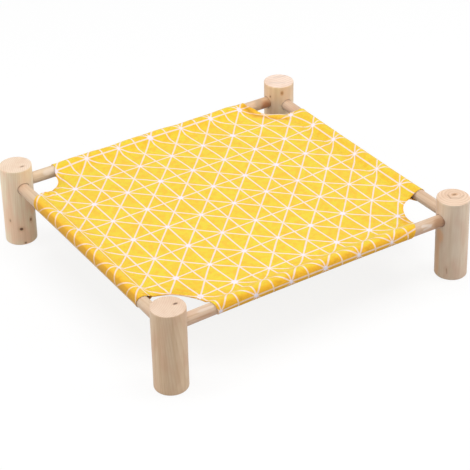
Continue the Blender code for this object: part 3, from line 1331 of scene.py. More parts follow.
    def _scoop_waves(self, cut: CornerCut, a: np.ndarray, b: np.ndarray) -> np.ndarray:
        """How the cloth rises and dips beside a scooped edge, in millimetres."""
        away, turn = cut.beside(a, b)
        window = smooth(turn / 0.5) * smooth((math.pi / 2 - turn) / 0.5)
        crescent = self.loose.swell * bell(away - 8.5, 4.0) - self.loose.edge_dip * bell(away - 2.5, 3.0)
        ripple = np.sin(turn * 11 + cut.side_x + 2 * cut.side_y) * np.exp(-np.maximum(away, 0) / 9)
        return (crescent + self.loose.ripple * ripple) * window

    def _loose(self, u: np.ndarray, v: np.ndarray) -> np.ndarray:
        """1 along the middle of a sleeve and 0 at its ends, where it sits tight."""
        along = np.minimum(self.sizes.half_x - np.abs(u), self.sizes.half_y - np.abs(v))
        far = np.maximum(self.sizes.half_x - np.abs(u), self.sizes.half_y - np.abs(v))
        return smooth((np.where(along < 0.012, far, 0.1) - 0.056) / 0.03)

    @staticmethod
    def _round_rail(depth: np.ndarray) -> np.ndarray:
        """1 where the cloth goes round a rail and 0 on the sheet and the flap."""
        share = (-depth * PER_METRE + 16) / 40
        return smooth((share - 0.12) / 0.2) * smooth((1.05 - share) / 0.25)

    def _corner_of(self, pucker: Pucker, u: np.ndarray, v: np.ndarray) -> tuple[np.ndarray, np.ndarray]:
        """Distances from the rails' axes at the pucker's own corner."""
        return self.sizes.half_x - u * pucker.side_x, self.sizes.half_y - v * pucker.side_y

    def shade(self, flat: np.ndarray) -> np.ndarray:
        """The cloth's painted shade, orange going to brown: 0 on the sheet, 1 round the rails and up to 2 in
        creases.

        Args:
            flat: One row of u and v for each point.

        Returns:
            One value for each point.
        """
        u, v = flat[:, 0], flat[:, 1]
        a, b = self._corner(u, v)
        total = np.zeros(len(flat))
        for values, flat_half in ((u, self.flat_x), (v, self.flat_y)):
            over = np.maximum(np.abs(values) - flat_half, 0)
            _, _, inward, up = self.fold.at(over)
            # Painted shade where the cloth turns down round a rail, darkest on the roll's underside
            turned = smooth((1.03 - up) / 0.33) * (1 - 0.75 * smooth(inward / 0.25) * (up > 0))
            total = np.maximum(total, (turned + 0.25 * smooth((-0.15 - up) / 0.45)) * (over > 0))
        for name, depth, _, on_side in self._sides(u, v):
            # More painted shade on the outer half of a roll, on the sides that have it
            total += np.where(on_side, self.seats[name].painted_shade_warmth * smooth(0.5 - depth / 0.006), 0.0)
        for cut in self.corners:
            away, _ = cut.beside(a, b)
            # Painted shade along a scooped hem's edge
            total += np.where(cut.holds(u, v) & (a > 0) & (b > 0), cut.rim * bell(away, 1.0), 0.0)
        # Painted shade in the puckers' folds
        folded = np.zeros(len(flat))
        for pucker in self.puckers:
            folded = np.maximum(folded, pucker.shade(*self._corner_of(pucker, u, v)))
        return np.clip(total + folded, 0.0, 2.0)

    def printed(self, flat: np.ndarray) -> np.ndarray:
        """Where the print lies on the cloth. Sewing dragged it sideways along the edges.

        Args:
            flat: One row of u and v for each point of the flat cut.

        Returns:
            One row of the print's own u and v for each point.
        """
        u, v = flat[:, 0], flat[:, 1]
        front, back, right = (np.clip(depth, 0, 1.2) for depth in (
            (-v - 0.118) / 0.087, (v - 0.100) / 0.086, (u - 0.100) / 0.099))
        front_seam = smooth((-v - 0.168) / 0.018)
        back_band, middle_and_front = smooth((v - 0.09) / 0.05), smooth((0.12 - v) / 0.04)
        right_band, right_roll = smooth((u - 0.10) / 0.045), smooth((u - 0.165) / 0.02)
        back_right = smooth((v - 0.11) / 0.05) * smooth((u - 0.05) / 0.08)
        front_left = bell(u + 0.100, 0.060) * bell(v + 0.095, 0.060)
        left_corners = bell(u + 0.160, 0.035) * (1 - bell(v - 0.04, 0.06))
        to_right = 0.0075 * front ** 1.1 - (0.0083 + 0.013 * u) * back ** 1.2
        to_right += 0.0020 * right_roll - 0.0018 * front_left - 0.0026 * back_right
        to_back = (0.0088 - 0.026 * v) * right ** 1.7 + (0.0004 - 0.010 * v) * right_band
        to_back += 0.0042 * front_seam - 0.0018 * back_band - 0.0008 * middle_and_front
        to_back -= 0.0030 * left_corners + 0.0026 * front_left
        return np.stack([u - to_right, v - to_back], 1)

    def fold_up(self, flat: np.ndarray, lift: float | np.ndarray) -> np.ndarray:
        """Where points of the flat cut lie on the made-up cover.

        Args:
            flat: One row of u and v for each point.
            lift: Distance from the cloth's middle along its outward normal, for all or for each point.

        Returns:
            One row of x, y and z for each point.
        """
        u, v = flat[:, 0], flat[:, 1]
        raised = self.rise(u, v) + lift
        x, y = u.copy(), v.copy()
        z = np.full(len(flat), self.fold.sheet_rise) + raised
        half_x, half_y = self.sizes.half_x, self.sizes.half_y
        for values, other, flat_half, half, other_half, names in (
                (x, v, self.flat_x, half_x, half_y, ("left", "right")),
                (y, u, self.flat_y, half_y, half_x, ("front", "back"))):
            sign = np.sign(values)
            low, high = (self.seats[name] for name in names)
            bow = np.where(sign > 0, high.bow, low.bow) * np.clip(1 - (other / other_half) ** 2, 0, 1)
            pulled = sign * bow * np.clip(np.abs(values) / flat_half, 0, 1)
            over = np.abs(values) - flat_half
            bent = over > 0
            inward, height, normal_in, normal_up = self.fold.at(over[bent])
            values[bent] = sign[bent] * (half - inward - normal_in * raised[bent])
            along = other / other_half
            seat = np.where(sign > 0, high.lift + high.tilt * along, low.lift + low.tilt * along)
            seated = seat[bent] * smooth((self.fold.start - inward) / self.fold.lead)
            z[bent] = height + normal_up * raised[bent] + seated
            values -= pulled
        return np.stack([x, y, z + self.sizes.rail_height], 1)

    def flat_size(self) -> tuple[float, float]:
        """The width and length of the cloth before it was cut, hems included."""
        return 2 * (self.edge_x + self.hem), 2 * (self.edge_y + self.hem)

    @staticmethod
    def _area(loop: np.ndarray) -> float:
        """The area inside a closed line."""
        following = np.roll(loop, -1, axis=0)
        return abs(float((loop[:, 0] * following[:, 1] - following[:, 0] * loop[:, 1]).sum())) / 2

    def cut_area(self) -> float:
        """The flat cut's area, hems included."""
        return self._area(self._outline(-self.hem, self.grid))

    def _flat_cut(self) -> FlatCut:
        """Fill the flat cut with points and triangles.

        Returns:
            The flat cut.
        """
        edge = self._outline(0.0, self.fine)
        line = self._outline(self.hem, self.fine)
        u = self._spacing(self.flat_x, self.edge_x)
        v = self._spacing(self.flat_y, self.edge_y)
        grid_u, grid_v = (values.ravel() for values in np.meshgrid(u, v))
        clear = self.fine * 0.6         # no grid point comes nearer to the edge or the hem's line
        kept = self._inside(grid_u, grid_v, self.hem + clear)
        kept |= self._inside(grid_u, grid_v, clear) & ~self._inside(grid_u, grid_v, self.hem - clear)
        inner = np.stack([grid_u[kept], grid_v[kept]], 1)
        points = np.concatenate([edge, line, inner])
        first, second = len(edge), len(edge) + len(line)
        loops = [list(range(first)), list(range(first, second))]
        merge = 1e-7
        corners = [Vector(point) for point in points]
        found, _, faces, _, _, owners = delaunay_2d_cdt(corners, [], loops, 0, merge, True)
        if len(found) != len(points):
            log.warning("the cut's fill has %d points for %d", len(found), len(points))
        kept_faces = [(tuple(face), 1 in owner) for face, owner in zip(faces, owners) if 0 in owner]
        return FlatCut(np.array([tuple(point) for point in found]), [face for face, _ in kept_faces],
                       [deep for _, deep in kept_faces], first, second)

    def build(self) -> bpy.types.Object:
        """Make the cover.

        Returns:
            The cover.
        """
        cut = self._flat_cut()
        half = self.thickness / 2
        edge = cut.points[:cut.edge_end]
        along = np.roll(edge, -1, axis=0) - np.roll(edge, 1, axis=0)
        outward = np.stack([along[:, 1], -along[:, 0]], 1)
        outward /= np.linalg.norm(outward, axis=1)[:, None]
        points = [self.fold_up(cut.points, lift) for lift in (half, -half, -3 * half)]
        maps = [cut.points] * 3
        turns = [math.radians(step) for step in (30, 60, 90, 120, 150)]
        for turn in turns:
            out = edge + outward * self.thickness * math.sin(turn)
            points.append(self.fold_up(out, -half + self.thickness * math.cos(turn)))
            maps.append(edge + outward * self.thickness * turn)
        faces, backs = self._faces(cut, len(turns))
        materials = [finish.build() for finish in self.finishes]
        piece = new_piece("printed_cover", np.concatenate(points), faces, materials)
        self._map(piece.data, np.concatenate(maps), backs)
        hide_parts("cover_panel", *(f"sleeve_{side}" for side in self.seats),
                    *(f"corner_hem_{end}_{side}" for end in ("front", "back") for side in ("left", "right")))
        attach(piece, BODY)
        return piece

    @staticmethod
    def _faces(cut: FlatCut, turns: int) -> tuple[list[tuple[int, ...]], list[bool]]:
        """Join the printed face, the back, the hem's underside and the rounded edge.

        Args:
            cut: The flat cut, whose points come three times: on the face, the back and under the hem.
            turns: How many rows of points the rounded edge has. They come after the rest.

        Returns:
            The faces, and whether each shows the back of the cloth.
        """
        count, first, second = len(cut.points), cut.edge_end, cut.line_end
        faces, backs = [], []
        for face, deep in zip(cut.triangles, cut.inner):
            shift = count if deep else 2 * count
            faces += [face, tuple(shift + corner for corner in reversed(face))]
            backs += [False, deep]
        rows = [0] + [3 * count + first * index for index in range(turns)] + [2 * count]
        for low, high in zip(rows, rows[1:]):
            for i in range(first):
                j = (i + 1) % first
                faces.append((low + j, low + i, high + i, high + j))
        for i in range(first, second):
            j = first + (i + 1 - first) % (second - first)
            faces.append((count + i, count + j, 2 * count + j, 2 * count + i))
        return faces, backs + [False] * (len(faces) - len(backs))

    def _map(self, mesh: bpy.types.Mesh, flat: np.ndarray, backs: list[bool]) -> None:
        """Give the mesh its print as a map, its painted shade, and the cloth's back to its back faces.

        Args:
            mesh: The cover's mesh.
            flat: u and v of each vertex.
            backs: Whether each face shows the back of the cloth.
        """
        layer = mesh.uv_layers.new(name=CLOTH_MAP)
        corners = np.zeros(len(mesh.loops), np.int32)
        mesh.loops.foreach_get("vertex_index", corners)
        layer.data.foreach_set("uv", self.printed(flat)[corners].astype(np.float32).ravel())
        # Painted shade, one value for each point
        shade = mesh.attributes.new(PAINTED_SHADE, "FLOAT", "POINT")
        shade.data.foreach_set("value", self.shade(flat).astype(np.float32))
        mesh.polygons.foreach_set("material_index", np.array(backs, np.int32))
        unused = bmesh.new()
        unused.from_mesh(mesh)
        bmesh.ops.delete(unused, geom=[v for v in unused.verts if not v.link_faces], context="VERTS")
        unused.to_mesh(mesh)
        unused.free()

    def hem_line(self, cut: CornerCut, inset: float) -> np.ndarray:
        """A corner's scooped edge, moved in, as points of the flat cut between the two sleeves."""
        margin = 0.30
        reach = self._scoop(cut, inset, np.linspace(margin, math.pi / 2 - margin, 200))
        return np.stack([cut.side_x * (self.sizes.half_x - reach[:, 0]),
                         cut.side_y * (self.sizes.half_y - reach[:, 1])], 1)


@dataclass
class Stitching:
    """Rows of short stitches that lie on the cover and dip into it at their ends."""

    cover: Cover
    finish: bpy.types.Material
    length: float = 0.0026
    gap: float = 0.0007         # between two stitches
    radius: float = 0.00016
    sides: int = 6
    shape: tuple[tuple[float, float, float], ...] = (   # share of the length, height and width in radii
        (0.0, -0.9, 0.45), (0.12, 0.1, 0.9), (0.35, 0.75, 1.0),
        (0.65, 0.75, 1.0), (0.88, 0.1, 0.9), (1.0, -0.9, 0.45),
    )
    end_gap: float = 0.001      # from a seam's end to the scooped corner
    edge_gap: float = 0.005     # from the edge of a flap to its row

    def _stitches(self, line: np.ndarray, surface: float) -> tuple[np.ndarray, list[tuple[int, ...]]]:
        """One row of stitches.

        Args:
            line: Points of the flat cut that the row follows.
            surface: Distance from the cloth's middle to the face that the row lies on.

        Returns:
            Points and faces.
        """
        pitch = self.length + self.gap
        count = int((lengths_along(line)[-1] - self.length) / pitch) + 1
        shares, heights, widths = np.array(self.shape).T
        bow = heights * self.radius * math.copysign(1.0, surface)
        size = widths * self.radius
        points: list[np.ndarray] = []
        faces: list[tuple[int, ...]] = []
        for index in range(count):
            flat = points_at(line, index * pitch + shares * self.length)
            path = self.cover.fold_up(flat, surface + bow)
            up = self.cover.fold_up(flat, 0.001) - self.cover.fold_up(flat, 0.0)
            up /= np.linalg.norm(up, axis=1)[:, None]
            forward = np.gradient(path, axis=0)
            aside = np.cross(forward, up)
            aside /= np.linalg.norm(aside, axis=1)[:, None]
            base = len(points) * self.sides
            for k in range(len(shares)):
                turn = np.arange(self.sides) * 2 * math.pi / self.sides
                ring = path[k] + size[k] * (np.cos(turn)[:, None] * aside[k] + np.sin(turn)[:, None] * up[k])
                points.append(ring)
            for k in range(len(shares) - 1):
                low, high = base + k * self.sides, base + (k + 1) * self.sides
                for s in range(self.sides):
                    t = (s + 1) % self.sides
                    faces.append((low + s, low + t, high + t, high + s))
            faces.append(tuple(base + s for s in reversed(range(self.sides))))
            faces.append(tuple(base + (len(shares) - 1) * self.sides + s for s in range(self.sides)))
        return np.concatenate(points), faces

    def _piece(self, name: str, rows: list[tuple[np.ndarray, float]]) -> bpy.types.Object:
        """One piece of several rows of stitches."""
        points: list[np.ndarray] = []
        faces: list[tuple[int, ...]] = []
        for line, surface in rows:
            base = sum(len(part) for part in points)
            row_points, row_faces = self._stitches(line, surface)
            points.append(row_points)
            faces += [tuple(base + corner for corner in face) for face in row_faces]
        piece = new_piece(name, np.concatenate(points), faces, [self.finish])
        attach(piece, BODY)
        return piece

    def seam(self, side: str, inset: float = 0.003) -> bpy.types.Object:
        """The row that sews a sleeve's flap to the sheet, seen on the sheet and under the flap.

        Args:
            side: Which side of the bed.
            inset: How far in from the bend the row is.

        Returns:
            The stitches.
        """
        cover, sizes = self.cover, self.cover.sizes
        lengthwise = side in ("front", "back")
        sign = -1 if side in ("front", "left") else 1
        half, other = (sizes.half_y, sizes.half_x) if lengthwise else (sizes.half_x, sizes.half_y)
        ends = []
        for cut in cover.corners:
            if (cut.side_y if lengthwise else cut.side_x) == sign:
                reach = cut.scoop_x if lengthwise else cut.scoop_y
                ends.append((cut.side_x if lengthwise else cut.side_y) * (other - reach - self.end_gap))
        run = np.linspace(min(ends), max(ends), 400)
        on_sheet = sign * (half - cover.fold.bend - inset)
        flat_half = cover.flat_y if lengthwise else cover.flat_x
        under = sign * (flat_half + cover.fold.length - self.edge_gap)
        rows = []
        for offset in (on_sheet, under):
            constant = np.full(len(run), offset)
            line = np.stack([run, constant] if lengthwise else [constant, run], 1)
            rows.append((line, cover.thickness / 2))
        piece = self._piece(f"seam_stitches_{side}", rows)
        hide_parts(f"seam_thread_{side}")
        return piece

    def corner_hem(self, cut: CornerCut, inset: float = 0.0045) -> bpy.types.Object:
        """The row that holds down a scooped corner's hem, seen above and below.

        Args:
            cut: The corner.
            inset: How far in from the edge the row is.

        Returns:
            The stitches.
        """
        end = "front" if cut.side_y < 0 else "back"
        side = "left" if cut.side_x < 0 else "right"
        line = self.cover.hem_line(cut, inset)
        half = self.cover.thickness / 2
        return self._piece(f"hem_stitches_{end}_{side}", [(line, half), (line, -3 * half)])


# The camera and the studio


@dataclass(frozen=True)
class PhotoCamera:
    """A camera placed by its angle round the bed, as the photograph was taken."""

    lens: float = 118.52        # in millimetres, as the sensor
    sensor: float = 36.0
    distance: float = 1.9924    # in metres, from the target
    azimuth: float = -32.61     # in degrees from the front, to the left below 0
    elevation: float = 32.8     # in degrees above the floor
    roll: float = -1.01
    target: Place = (-0.0009, -0.0114, 0.0352)

    def build(self) -> bpy.types.Object:
        """Make the camera and use it for the scene.

        Returns:
            The camera.
        """
        turn, lift, roll = (math.radians(value) for value in (self.azimuth, self.elevation, self.roll))
        back = Vector((math.sin(turn) * math.cos(lift), -math.cos(turn) * math.cos(lift), math.sin(lift)))
        right = Vector((math.cos(turn), math.sin(turn), 0.0))
        up = back.cross(right)
        rolled_right = math.cos(roll) * right + math.sin(roll) * up
        rolled_up = -math.sin(roll) * right + math.cos(roll) * up
        data = bpy.data.cameras.new("photo_camera")
        data.lens = self.lens
        data.sensor_width = self.sensor
        data.clip_start, data.clip_end = 0.05, 50.0
        camera = in_scene("photo_camera", data)
        turned = Matrix((rolled_right, rolled_up, back)).transposed().to_4x4()
        turned.translation = Vector(self.target) + back * self.distance
        camera.matrix_world = turned
        bpy.context.scene.camera = camera
        return camera


@dataclass(frozen=True)
class SoftLamp:
    """A square soft box that faces the bed."""

    name: str
    place: Place
    size: float                 # of its side, in metres
    power: float                # in watts
    colour: tuple[float, float, float] = (1.0, 1.0, 1.0)
    aim: Place = (0.0, 0.0, 0.05)

    def build(self) -> bpy.types.Object:
        """Hang the lamp.

        Returns:
            The lamp.
        """
        data = bpy.data.lights.new(self.name, "AREA")
        data.shape = "SQUARE"
        data.size = self.size
        data.energy = self.power
        data.color = self.colour
        lamp = in_scene(self.name, data)
        lamp.location = self.place
        lamp.rotation_mode = "QUATERNION"
        lamp.rotation_quaternion = (Vector(self.aim) - Vector(self.place)).to_track_quat("-Z", "Y")
        return lamp


@dataclass(frozen=True)
class Studio:
    """A white sweep under a soft white sky, with large soft lamps."""

    lamps: tuple[SoftLamp, ...]
    sky: float = 0.30           # how strongly the sky lights the bed
    floor_size: float = 12.0
    floor_grey: float = 0.52    # how much of the light the floor gives back
    floor_shown: float = 0.16   # the share of that which the eye sees: the rest is plain white
    floor_drop: float = 0.0002  # below the feet, so that the two don't meet in one plane

    @staticmethod
    def _seen(graph: Graph) -> Number:
        """1 for what the camera sees, directly, in a gloss or through glass, and 0 for light on its way."""
        path = graph.node("ShaderNodeLightPath")
        seen = graph.number(path, "Is Camera Ray").most(graph.number(path, "Is Glossy Ray"))
        return seen.most(graph.number(path, "Is Transmission Ray"))

    def _sky(self) -> None:
        """White to the eye, and a plain soft light on the bed."""
        world = bpy.data.worlds.new("studio_sky")
        bpy.context.scene.world = world
        graph = Graph(world)
        seen = self._seen(graph)
        strength = seen * (1.0 - self.sky) + self.sky
        values = {"Color": (1.0, 1.0, 1.0, 1.0), "Strength": strength}
        background = graph.node("ShaderNodeBackground", None, values)
        graph.node("ShaderNodeOutputWorld", None, {"Surface": graph.link(background)})

    def _floor(self) -> bpy.types.Object:
        """A pale floor that is white to the eye where the bed doesn't shade it."""
        half = self.floor_size / 2
        mesh = bpy.data.meshes.new("studio_floor")
        low = -self.floor_drop
        corners = [(-half, -half, low), (half, -half, low), (half, half, low), (-half, half, low)]
        mesh.from_pydata(corners, [], [(0, 1, 2, 3)])
        material = bpy.data.materials.new("studio_floor")
        graph = Graph(material)
        seen = self._seen(graph)
        grey, shown = self.floor_grey, self.floor_shown
        graph.surface({
            "Base Color": graph.mix(seen, (grey, grey, grey, 1.0), (shown, shown, shown, 1.0)),
            "Roughness": 0.9,
            "Specular IOR Level": 0.0,
            "Emission Color": graph.mix(seen, (0.0, 0.0, 0.0, 1.0), (1.0, 1.0, 1.0, 1.0)),
            "Emission Strength": 1.0 - shown,
        })
        mesh.materials.append(material)
        floor = in_scene("studio_floor", mesh)
        return floor

    def build(self) -> None:
        """Make the floor, the sky and the lamps, and set the picture's plain colours."""
        self._floor()
        self._sky()
        for lamp in self.lamps:
            lamp.build()
        bpy.context.scene.view_settings.view_transform = "Standard"


# This bed's own pieces

KNOT = paint(92, 58, 40)
RED_KNOT = paint(120, 62, 42)
CHECK = paint(150, 112, 80)
STAIN = paint(184, 122, 80)
WARM = paint(240, 186, 138)
BROWN = paint(138, 82, 50)
TAN = paint(176, 130, 94)
ORANGE_BROWN = paint(172, 112, 70)
ASH = paint(206, 184, 172)
ASH_GREY = paint(178, 164, 146)
PALE_PATCH = paint(238, 224, 212)


def on_side(degrees: float, height: float, radius: float = 0.0207) -> Place:
    """A point on a leg's side, from the middle of its foot.

    Args:
        degrees: The angle about the leg's axis, from +X.
        height: The height above the floor.
        radius: The distance from the axis.

    Returns:
        The point.
    """
    angle = math.radians(degrees)
    return (radius * math.cos(angle), radius * math.sin(angle), height)


def leg_finishes() -> dict[str, PineFinish]:
    """The wood of each leg, with the knots and checks of the photograph.

    Returns:
        The finishes by CAD node.
    """
    back_left = (
        Mark(on_side(-154, 0.037), (0.0012, 0.0012, 0.0022), KNOT, 0.45, 0.25),
        Mark(on_side(-73, 0.035), (0.0016, 0.0016, 0.0026), RED_KNOT, 0.9, 0.5),
        Mark(on_side(-114, 0.025), (0.0026, 0.0026, 0.0022), KNOT, 0.95, 0.35),
        Mark(on_side(-104, 0.003), (0.0016, 0.0016, 0.0016), KNOT, 0.7, 0.2),
        Mark(on_side(-101, 0.086), (0.0016, 0.0016, 0.0018), KNOT, 0.8, 0.2),
        Mark(on_side(-103, 0.082), (0.0008, 0.0008, 0.0008), CHECK, 0.75, run=(0.0046, 0.0006, -0.0110)),
        Mark(on_side(-54, 0.051), (0.0070, 0.0070, 0.0110), WARM, 0.60),
        Mark((0.0052, -0.0098, 0.111), (0.0026, 0.0014, 0.0014), KNOT, 0.55, 0.25),
    )
    front_left = (
        Mark((0.0099, 0.0001, 0.111), (0.0027, 0.0015, 0.0014), KNOT, 0.85, 0.2),
        Mark(on_side(-96, 0.030), (0.0040, 0.0040, 0.0200), STAIN, 0.16),
    )
    front_right = (
        Mark((0.0044, 0.0044, 0.111), (0.0026, 0.0016, 0.0012), CHECK, 0.80, 0.45),
        Mark((-0.0030, 0.0085, 0.111), (0.0010, 0.0010, 0.0010), CHECK, 0.45, run=(-0.0020, -0.0080, 0.0)),
        Mark((-0.0050, 0.0005, 0.111), (0.0009, 0.0009, 0.0010), CHECK, 0.45, run=(0.0080, -0.0060, 0.0)),
        Mark((0.0040, -0.0058, 0.111), (0.0008, 0.0008, 0.0010), CHECK, 0.35, run=(0.0080, 0.0020, 0.0)),
        Mark(on_side(-138, 0.010), (0.0010, 0.0010, 0.0024), CHECK, 0.55, run=(-0.0006, 0.0006, 0.0060)),
        Mark(on_side(-142, 0.006), (0.0040, 0.0040, 0.0060), STAIN, 0.18, run=(0.0, 0.0, 0.0100)),
        Mark(on_side(-178, 0.062), (0.0060, 0.0070, 0.0110), WARM, 0.70),
        Mark(on_side(170, 0.008), (0.0045, 0.0060, 0.0080), WARM, 0.55, run=(0.0, 0.0, 0.0380)),
    )
    back_right = (
        Mark(on_side(-160, 0.095), (0.0012, 0.0012, 0.0016), KNOT, 0.7, 0.3),
        Mark(on_side(-112, 0.102), (0.0012, 0.0012, 0.0018), CHECK, 0.6, 0.8),
        Mark((0.0020, 0.0120, 0.111), (0.0040, 0.0016, 0.0016), ASH, 0.40, run=(0.0120, -0.0040, 0.0)),
        Mark((-0.0140, 0.0020, 0.111), (0.0020, 0.0020, 0.0016), ASH, 0.30, run=(0.0170, -0.0110, 0.0)),
    )
    # The legs' tones are partly painted light: they set how light each leg's side and top are drawn
    upright = Grain.UPRIGHT
    return {
        "leg_back_left": PineFinish(
            "pine_leg_back_left", upright, (0.034, -0.026), (60.0, -40.0), (11.0, 37.0, 5.0), back_left,
            tone=(1.29, 1.31, 1.40), end_tone=(0.95, 0.98, 1.00)),
        "leg_front_left": PineFinish(
            "pine_leg_front_left", upright, (-0.023, 0.035), (-70.0, 50.0), (53.0, 7.0, 41.0), front_left,
            tone=(0.96, 0.94, 0.93), end_tone=(0.90, 0.90, 0.91)),
        "leg_front_right": PineFinish(
            "pine_leg_front_right", upright, (0.0044, 0.0044), (0.0, 0.0), (29.0, 71.0, 13.0), front_right,
            tone=(1.01, 1.09, 1.23), end_tone=(0.92, 0.90, 0.89),
            ring=0.0042, end_ring_depth=0.32, swirl=1.6),
        "leg_back_right": PineFinish(
            "pine_leg_back_right", upright, (0.010, 0.046), (-40.0, 50.0), (83.0, 19.0, 67.0), back_right,
            tone=(1.13, 1.19, 1.20), end_tone=(1.03, 1.07, 1.18), ring=0.0050, end_ring_depth=0.30),
    }


def rail_finishes() -> dict[str, PineFinish]:
    """The wood of each rail. Dowels are cut from boards, so the tree's middle lies outside them.

    Returns:
        The finishes by CAD node.
    """
    lengthwise = Grain.LENGTHWISE
    # Pale patches on the rails' upper fronts, darker streaks along their lower fronts, and darker patches
    # beside the right-hand legs
    front = (
        Mark((0.1790, -0.0050, 0.0010), (0.0090, 0.0070, 0.0075), TAN, 0.75, 0.2),
        Mark((0.1870, -0.0060, 0.0000), (0.0030, 0.0050, 0.0060), BROWN, 0.45),
        Mark((0.1560, -0.0050, 0.0052), (0.0036, 0.0026, 0.0016), PALE_PATCH, 0.55, run=(0.0100, 0.0, -0.0018)),
        Mark((0.1570, -0.0072, 0.0012), (0.0030, 0.0022, 0.0013), PALE_PATCH, 0.50, run=(0.0080, 0.0, 0.0010)),
        Mark((0.1480, -0.0030, -0.0072), (0.0030, 0.0030, 0.0014), BROWN, 0.50, run=(0.0360, 0.0, 0.0)),
        Mark((-0.1800, -0.0050, -0.0060), (0.0060, 0.0030, 0.0016), BROWN, 0.55, run=(0.0300, 0.0, 0.0)),
        Mark((-0.1700, -0.0075, 0.0010), (0.0060, 0.0030, 0.0012), STAIN, 0.30, run=(0.0120, 0.0, 0.0)),
        Mark((-0.1640, -0.0040, 0.0068), (0.0080, 0.0030, 0.0016), PALE_PATCH, 0.40, run=(0.0100, 0.0, 0.0)),
    )
    back = (
        Mark((0.1700, -0.0040, 0.0040), (0.0080, 0.0070, 0.0055), ASH_GREY, 0.75),
        Mark((0.1800, -0.0055, -0.0005), (0.0090, 0.0070, 0.0066), ORANGE_BROWN, 0.95, 0.5),
        Mark((-0.1650, -0.0060, 0.0050), (0.0070, 0.0040, 0.0040), PALE_PATCH, 0.50, run=(0.0120, 0.0, 0.0)),
    )
    rail_tone = (0.91, 0.90, 0.96)
    return {
        "rail_front": PineFinish(
            "pine_rail_front", lengthwise, (0.030, 0.055), (20.0, 8.0), (3.0, 91.0, 17.0), front,
            tone=rail_tone, streak_depth=0.65, fuzz=0.40),
        "rail_right": PineFinish(
            "pine_rail_right", lengthwise, (-0.045, 0.030), (-12.0, 14.0), (61.0, 23.0, 47.0),
            tone=rail_tone, streak_depth=0.65, fuzz=0.40),
        "rail_back": PineFinish(
            "pine_rail_back", lengthwise, (0.025, -0.060), (15.0, -9.0), (37.0, 5.0, 73.0), back,
            tone=(0.96, 0.98, 1.0), streak_depth=0.50, fuzz=0.35),
        "rail_left": PineFinish(
            "pine_rail_left", lengthwise, (-0.050, -0.035), (9.0, 18.0), (7.0, 59.0, 31.0),
            tone=(0.90, 0.90, 0.92), streak_depth=0.50, fuzz=0.35),
    }


LEG_SIDES = {
    "leg_front_left": (-1, -1),
    "leg_front_right": (1, -1),
    "leg_back_right": (1, 1),
    "leg_back_left": (-1, 1),
}

LEG_LEANS = {
    "leg_front_left": (0.0, 0.0),
    "leg_front_right": (0.0018, -0.0012),
    "leg_back_right": (0.0, 0.0),
    "leg_back_left": (-0.0010, 0.0006),
}

RAIL_SEATS = {
    "front": RailSeat(lift=0.0010, bow=0.0022, slack=0.0001),
    "right": RailSeat(lift=-0.0010, bow=0.0015, slack=0.0002),
    "back": RailSeat(lift=0.0009, bow=0.0, slack=0.0016),
    "left": RailSeat(lift=0.0008, bow=0.0005, slack=0.0001, painted_shade_warmth=0.40, tilt=0.0008),
}

# rim is the painted shade along each scooped hem's edge
CORNER_CUTS = (
    CornerCut(-1, -1, 0.0615, 0.0630, sleeve_x=0.0588, sleeve_y=0.0584, slant_x=0.20, slant_y=0.10, rim=1.7),
    CornerCut(1, -1, 0.0523, 0.0665, sleeve_x=0.0600, sleeve_y=0.0650, power=2.3, slant_x=0.44),
    CornerCut(1, 1, 0.0500, 0.0470, sleeve_x=0.0590, sleeve_y=0.0550, power=2.1, rim=0.2),
    CornerCut(-1, 1, 0.0505, 0.0453, sleeve_x=0.0545, sleeve_y=0.0577, power=3.0, slant_y=0.60),
)

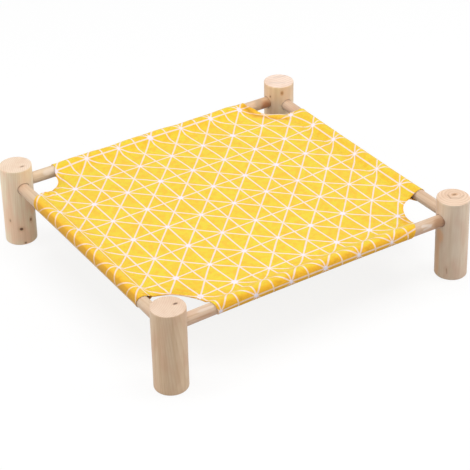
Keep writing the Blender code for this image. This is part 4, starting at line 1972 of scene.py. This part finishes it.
# Folds at the corners, with the painted shade drawn in them
PUCKERS = (
    Pucker(-1, 1, start=(17.0, 43.0), end=(24.0, 56.0), width=2.2, height=1.2),
    Pucker(-1, 1, start=(29.0, 41.5), end=(33.0, 46.5), width=2.0, height=-0.9, painted_shade_tint=1.0),
    Pucker(-1, 1, start=(20.0, 49.0), end=(20.4, 51.0), width=1.0, height=-0.8, painted_shade_tint=1.6),
    Pucker(-1, -1, start=(43.5, 56.0), end=(57.5, 42.0), width=1.5, height=-0.7, painted_shade_tint=1.2),
    Pucker(-1, -1, start=(40.0, 53.0), end=(54.0, 38.0), width=2.0, height=0.6),
    Pucker(1, -1, start=(53.5, 33.0), end=(58.0, 17.0), width=5.5, height=-0.5, painted_shade_tint=0.9),
    Pucker(1, 1, start=(61.0, 4.0), end=(55.5, 21.0), width=6.5, height=-0.5, painted_shade_tint=1.38),
    Pucker(1, 1, start=(54.0, 24.0), end=(44.0, 37.5), width=5.2, height=-1.2, painted_shade_tint=1.45),
    Pucker(1, 1, start=(42.5, 40.0), end=(36.0, 46.0), width=4.0, height=-1.6, painted_shade_tint=1.50),
    Pucker(1, 1, start=(34.0, 50.0), end=(24.0, 55.5), width=2.8, height=-1.6, painted_shade_tint=1.65),
    Pucker(1, 1, start=(38.0, 36.0), end=(20.0, 46.5), width=3.0, height=1.0),
)

LAMPS = (
    SoftLamp("top_lamp", (0.0, 0.0, 2.2), 1.8, 31.0),
    SoftLamp("left_rim_lamp", (-1.8, 1.1, 0.7), 1.2, 14.5),
    SoftLamp("right_rim_lamp", (1.8, -1.0, 0.8), 1.2, 17.0),
    SoftLamp("front_fill_lamp", (-1.6, -1.9, 1.3), 1.4, 12.0),
)


def main() -> None:
    """Build the bed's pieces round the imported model."""
    logging.basicConfig(level=logging.INFO, format="%(name)s: %(message)s")
    PhotoCamera().build()
    Studio(LAMPS).build()
    sizes = BedSizes.measured()
    legs, rails = leg_finishes(), rail_finishes()
    for node, (side_x, side_y) in LEG_SIDES.items():
        leg = PineLeg(node, side_x, side_y, sizes, legs[node], RAIL_SEATS, LEG_LEANS[node]).build()
        log.info("%s has %d faces", leg.name, len(leg.data.polygons))
    for node, finish in rails.items():
        rail = DowelRail(node, sizes, finish, RAIL_SEATS[node.removeprefix("rail_")]).build()
        log.info("%s has %d faces", rail.name, len(rail.data.polygons))
    printed = PrintedCotton("printed_cotton")
    back = PrintedCotton("cotton_back", strength=0.55, wash=0.25)
    cover = Cover(sizes, RAIL_SEATS, CORNER_CUTS, (printed, back), PUCKERS)
    cloth = cover.build()
    log.info("%s has %d faces", cloth.name, len(cloth.data.polygons))
    sewing = Stitching(cover, ThreadFinish("sewing_thread").build())
    rows = [sewing.seam(side) for side in ("front", "right", "back", "left")]
    rows += [sewing.corner_hem(cut) for cut in CORNER_CUTS]
    for row in rows:
        log.info("%s has %d faces", row.name, len(row.data.polygons))
    cover.flat_size()
    cover.cut_area()


if __name__ == "__main__":
    main()
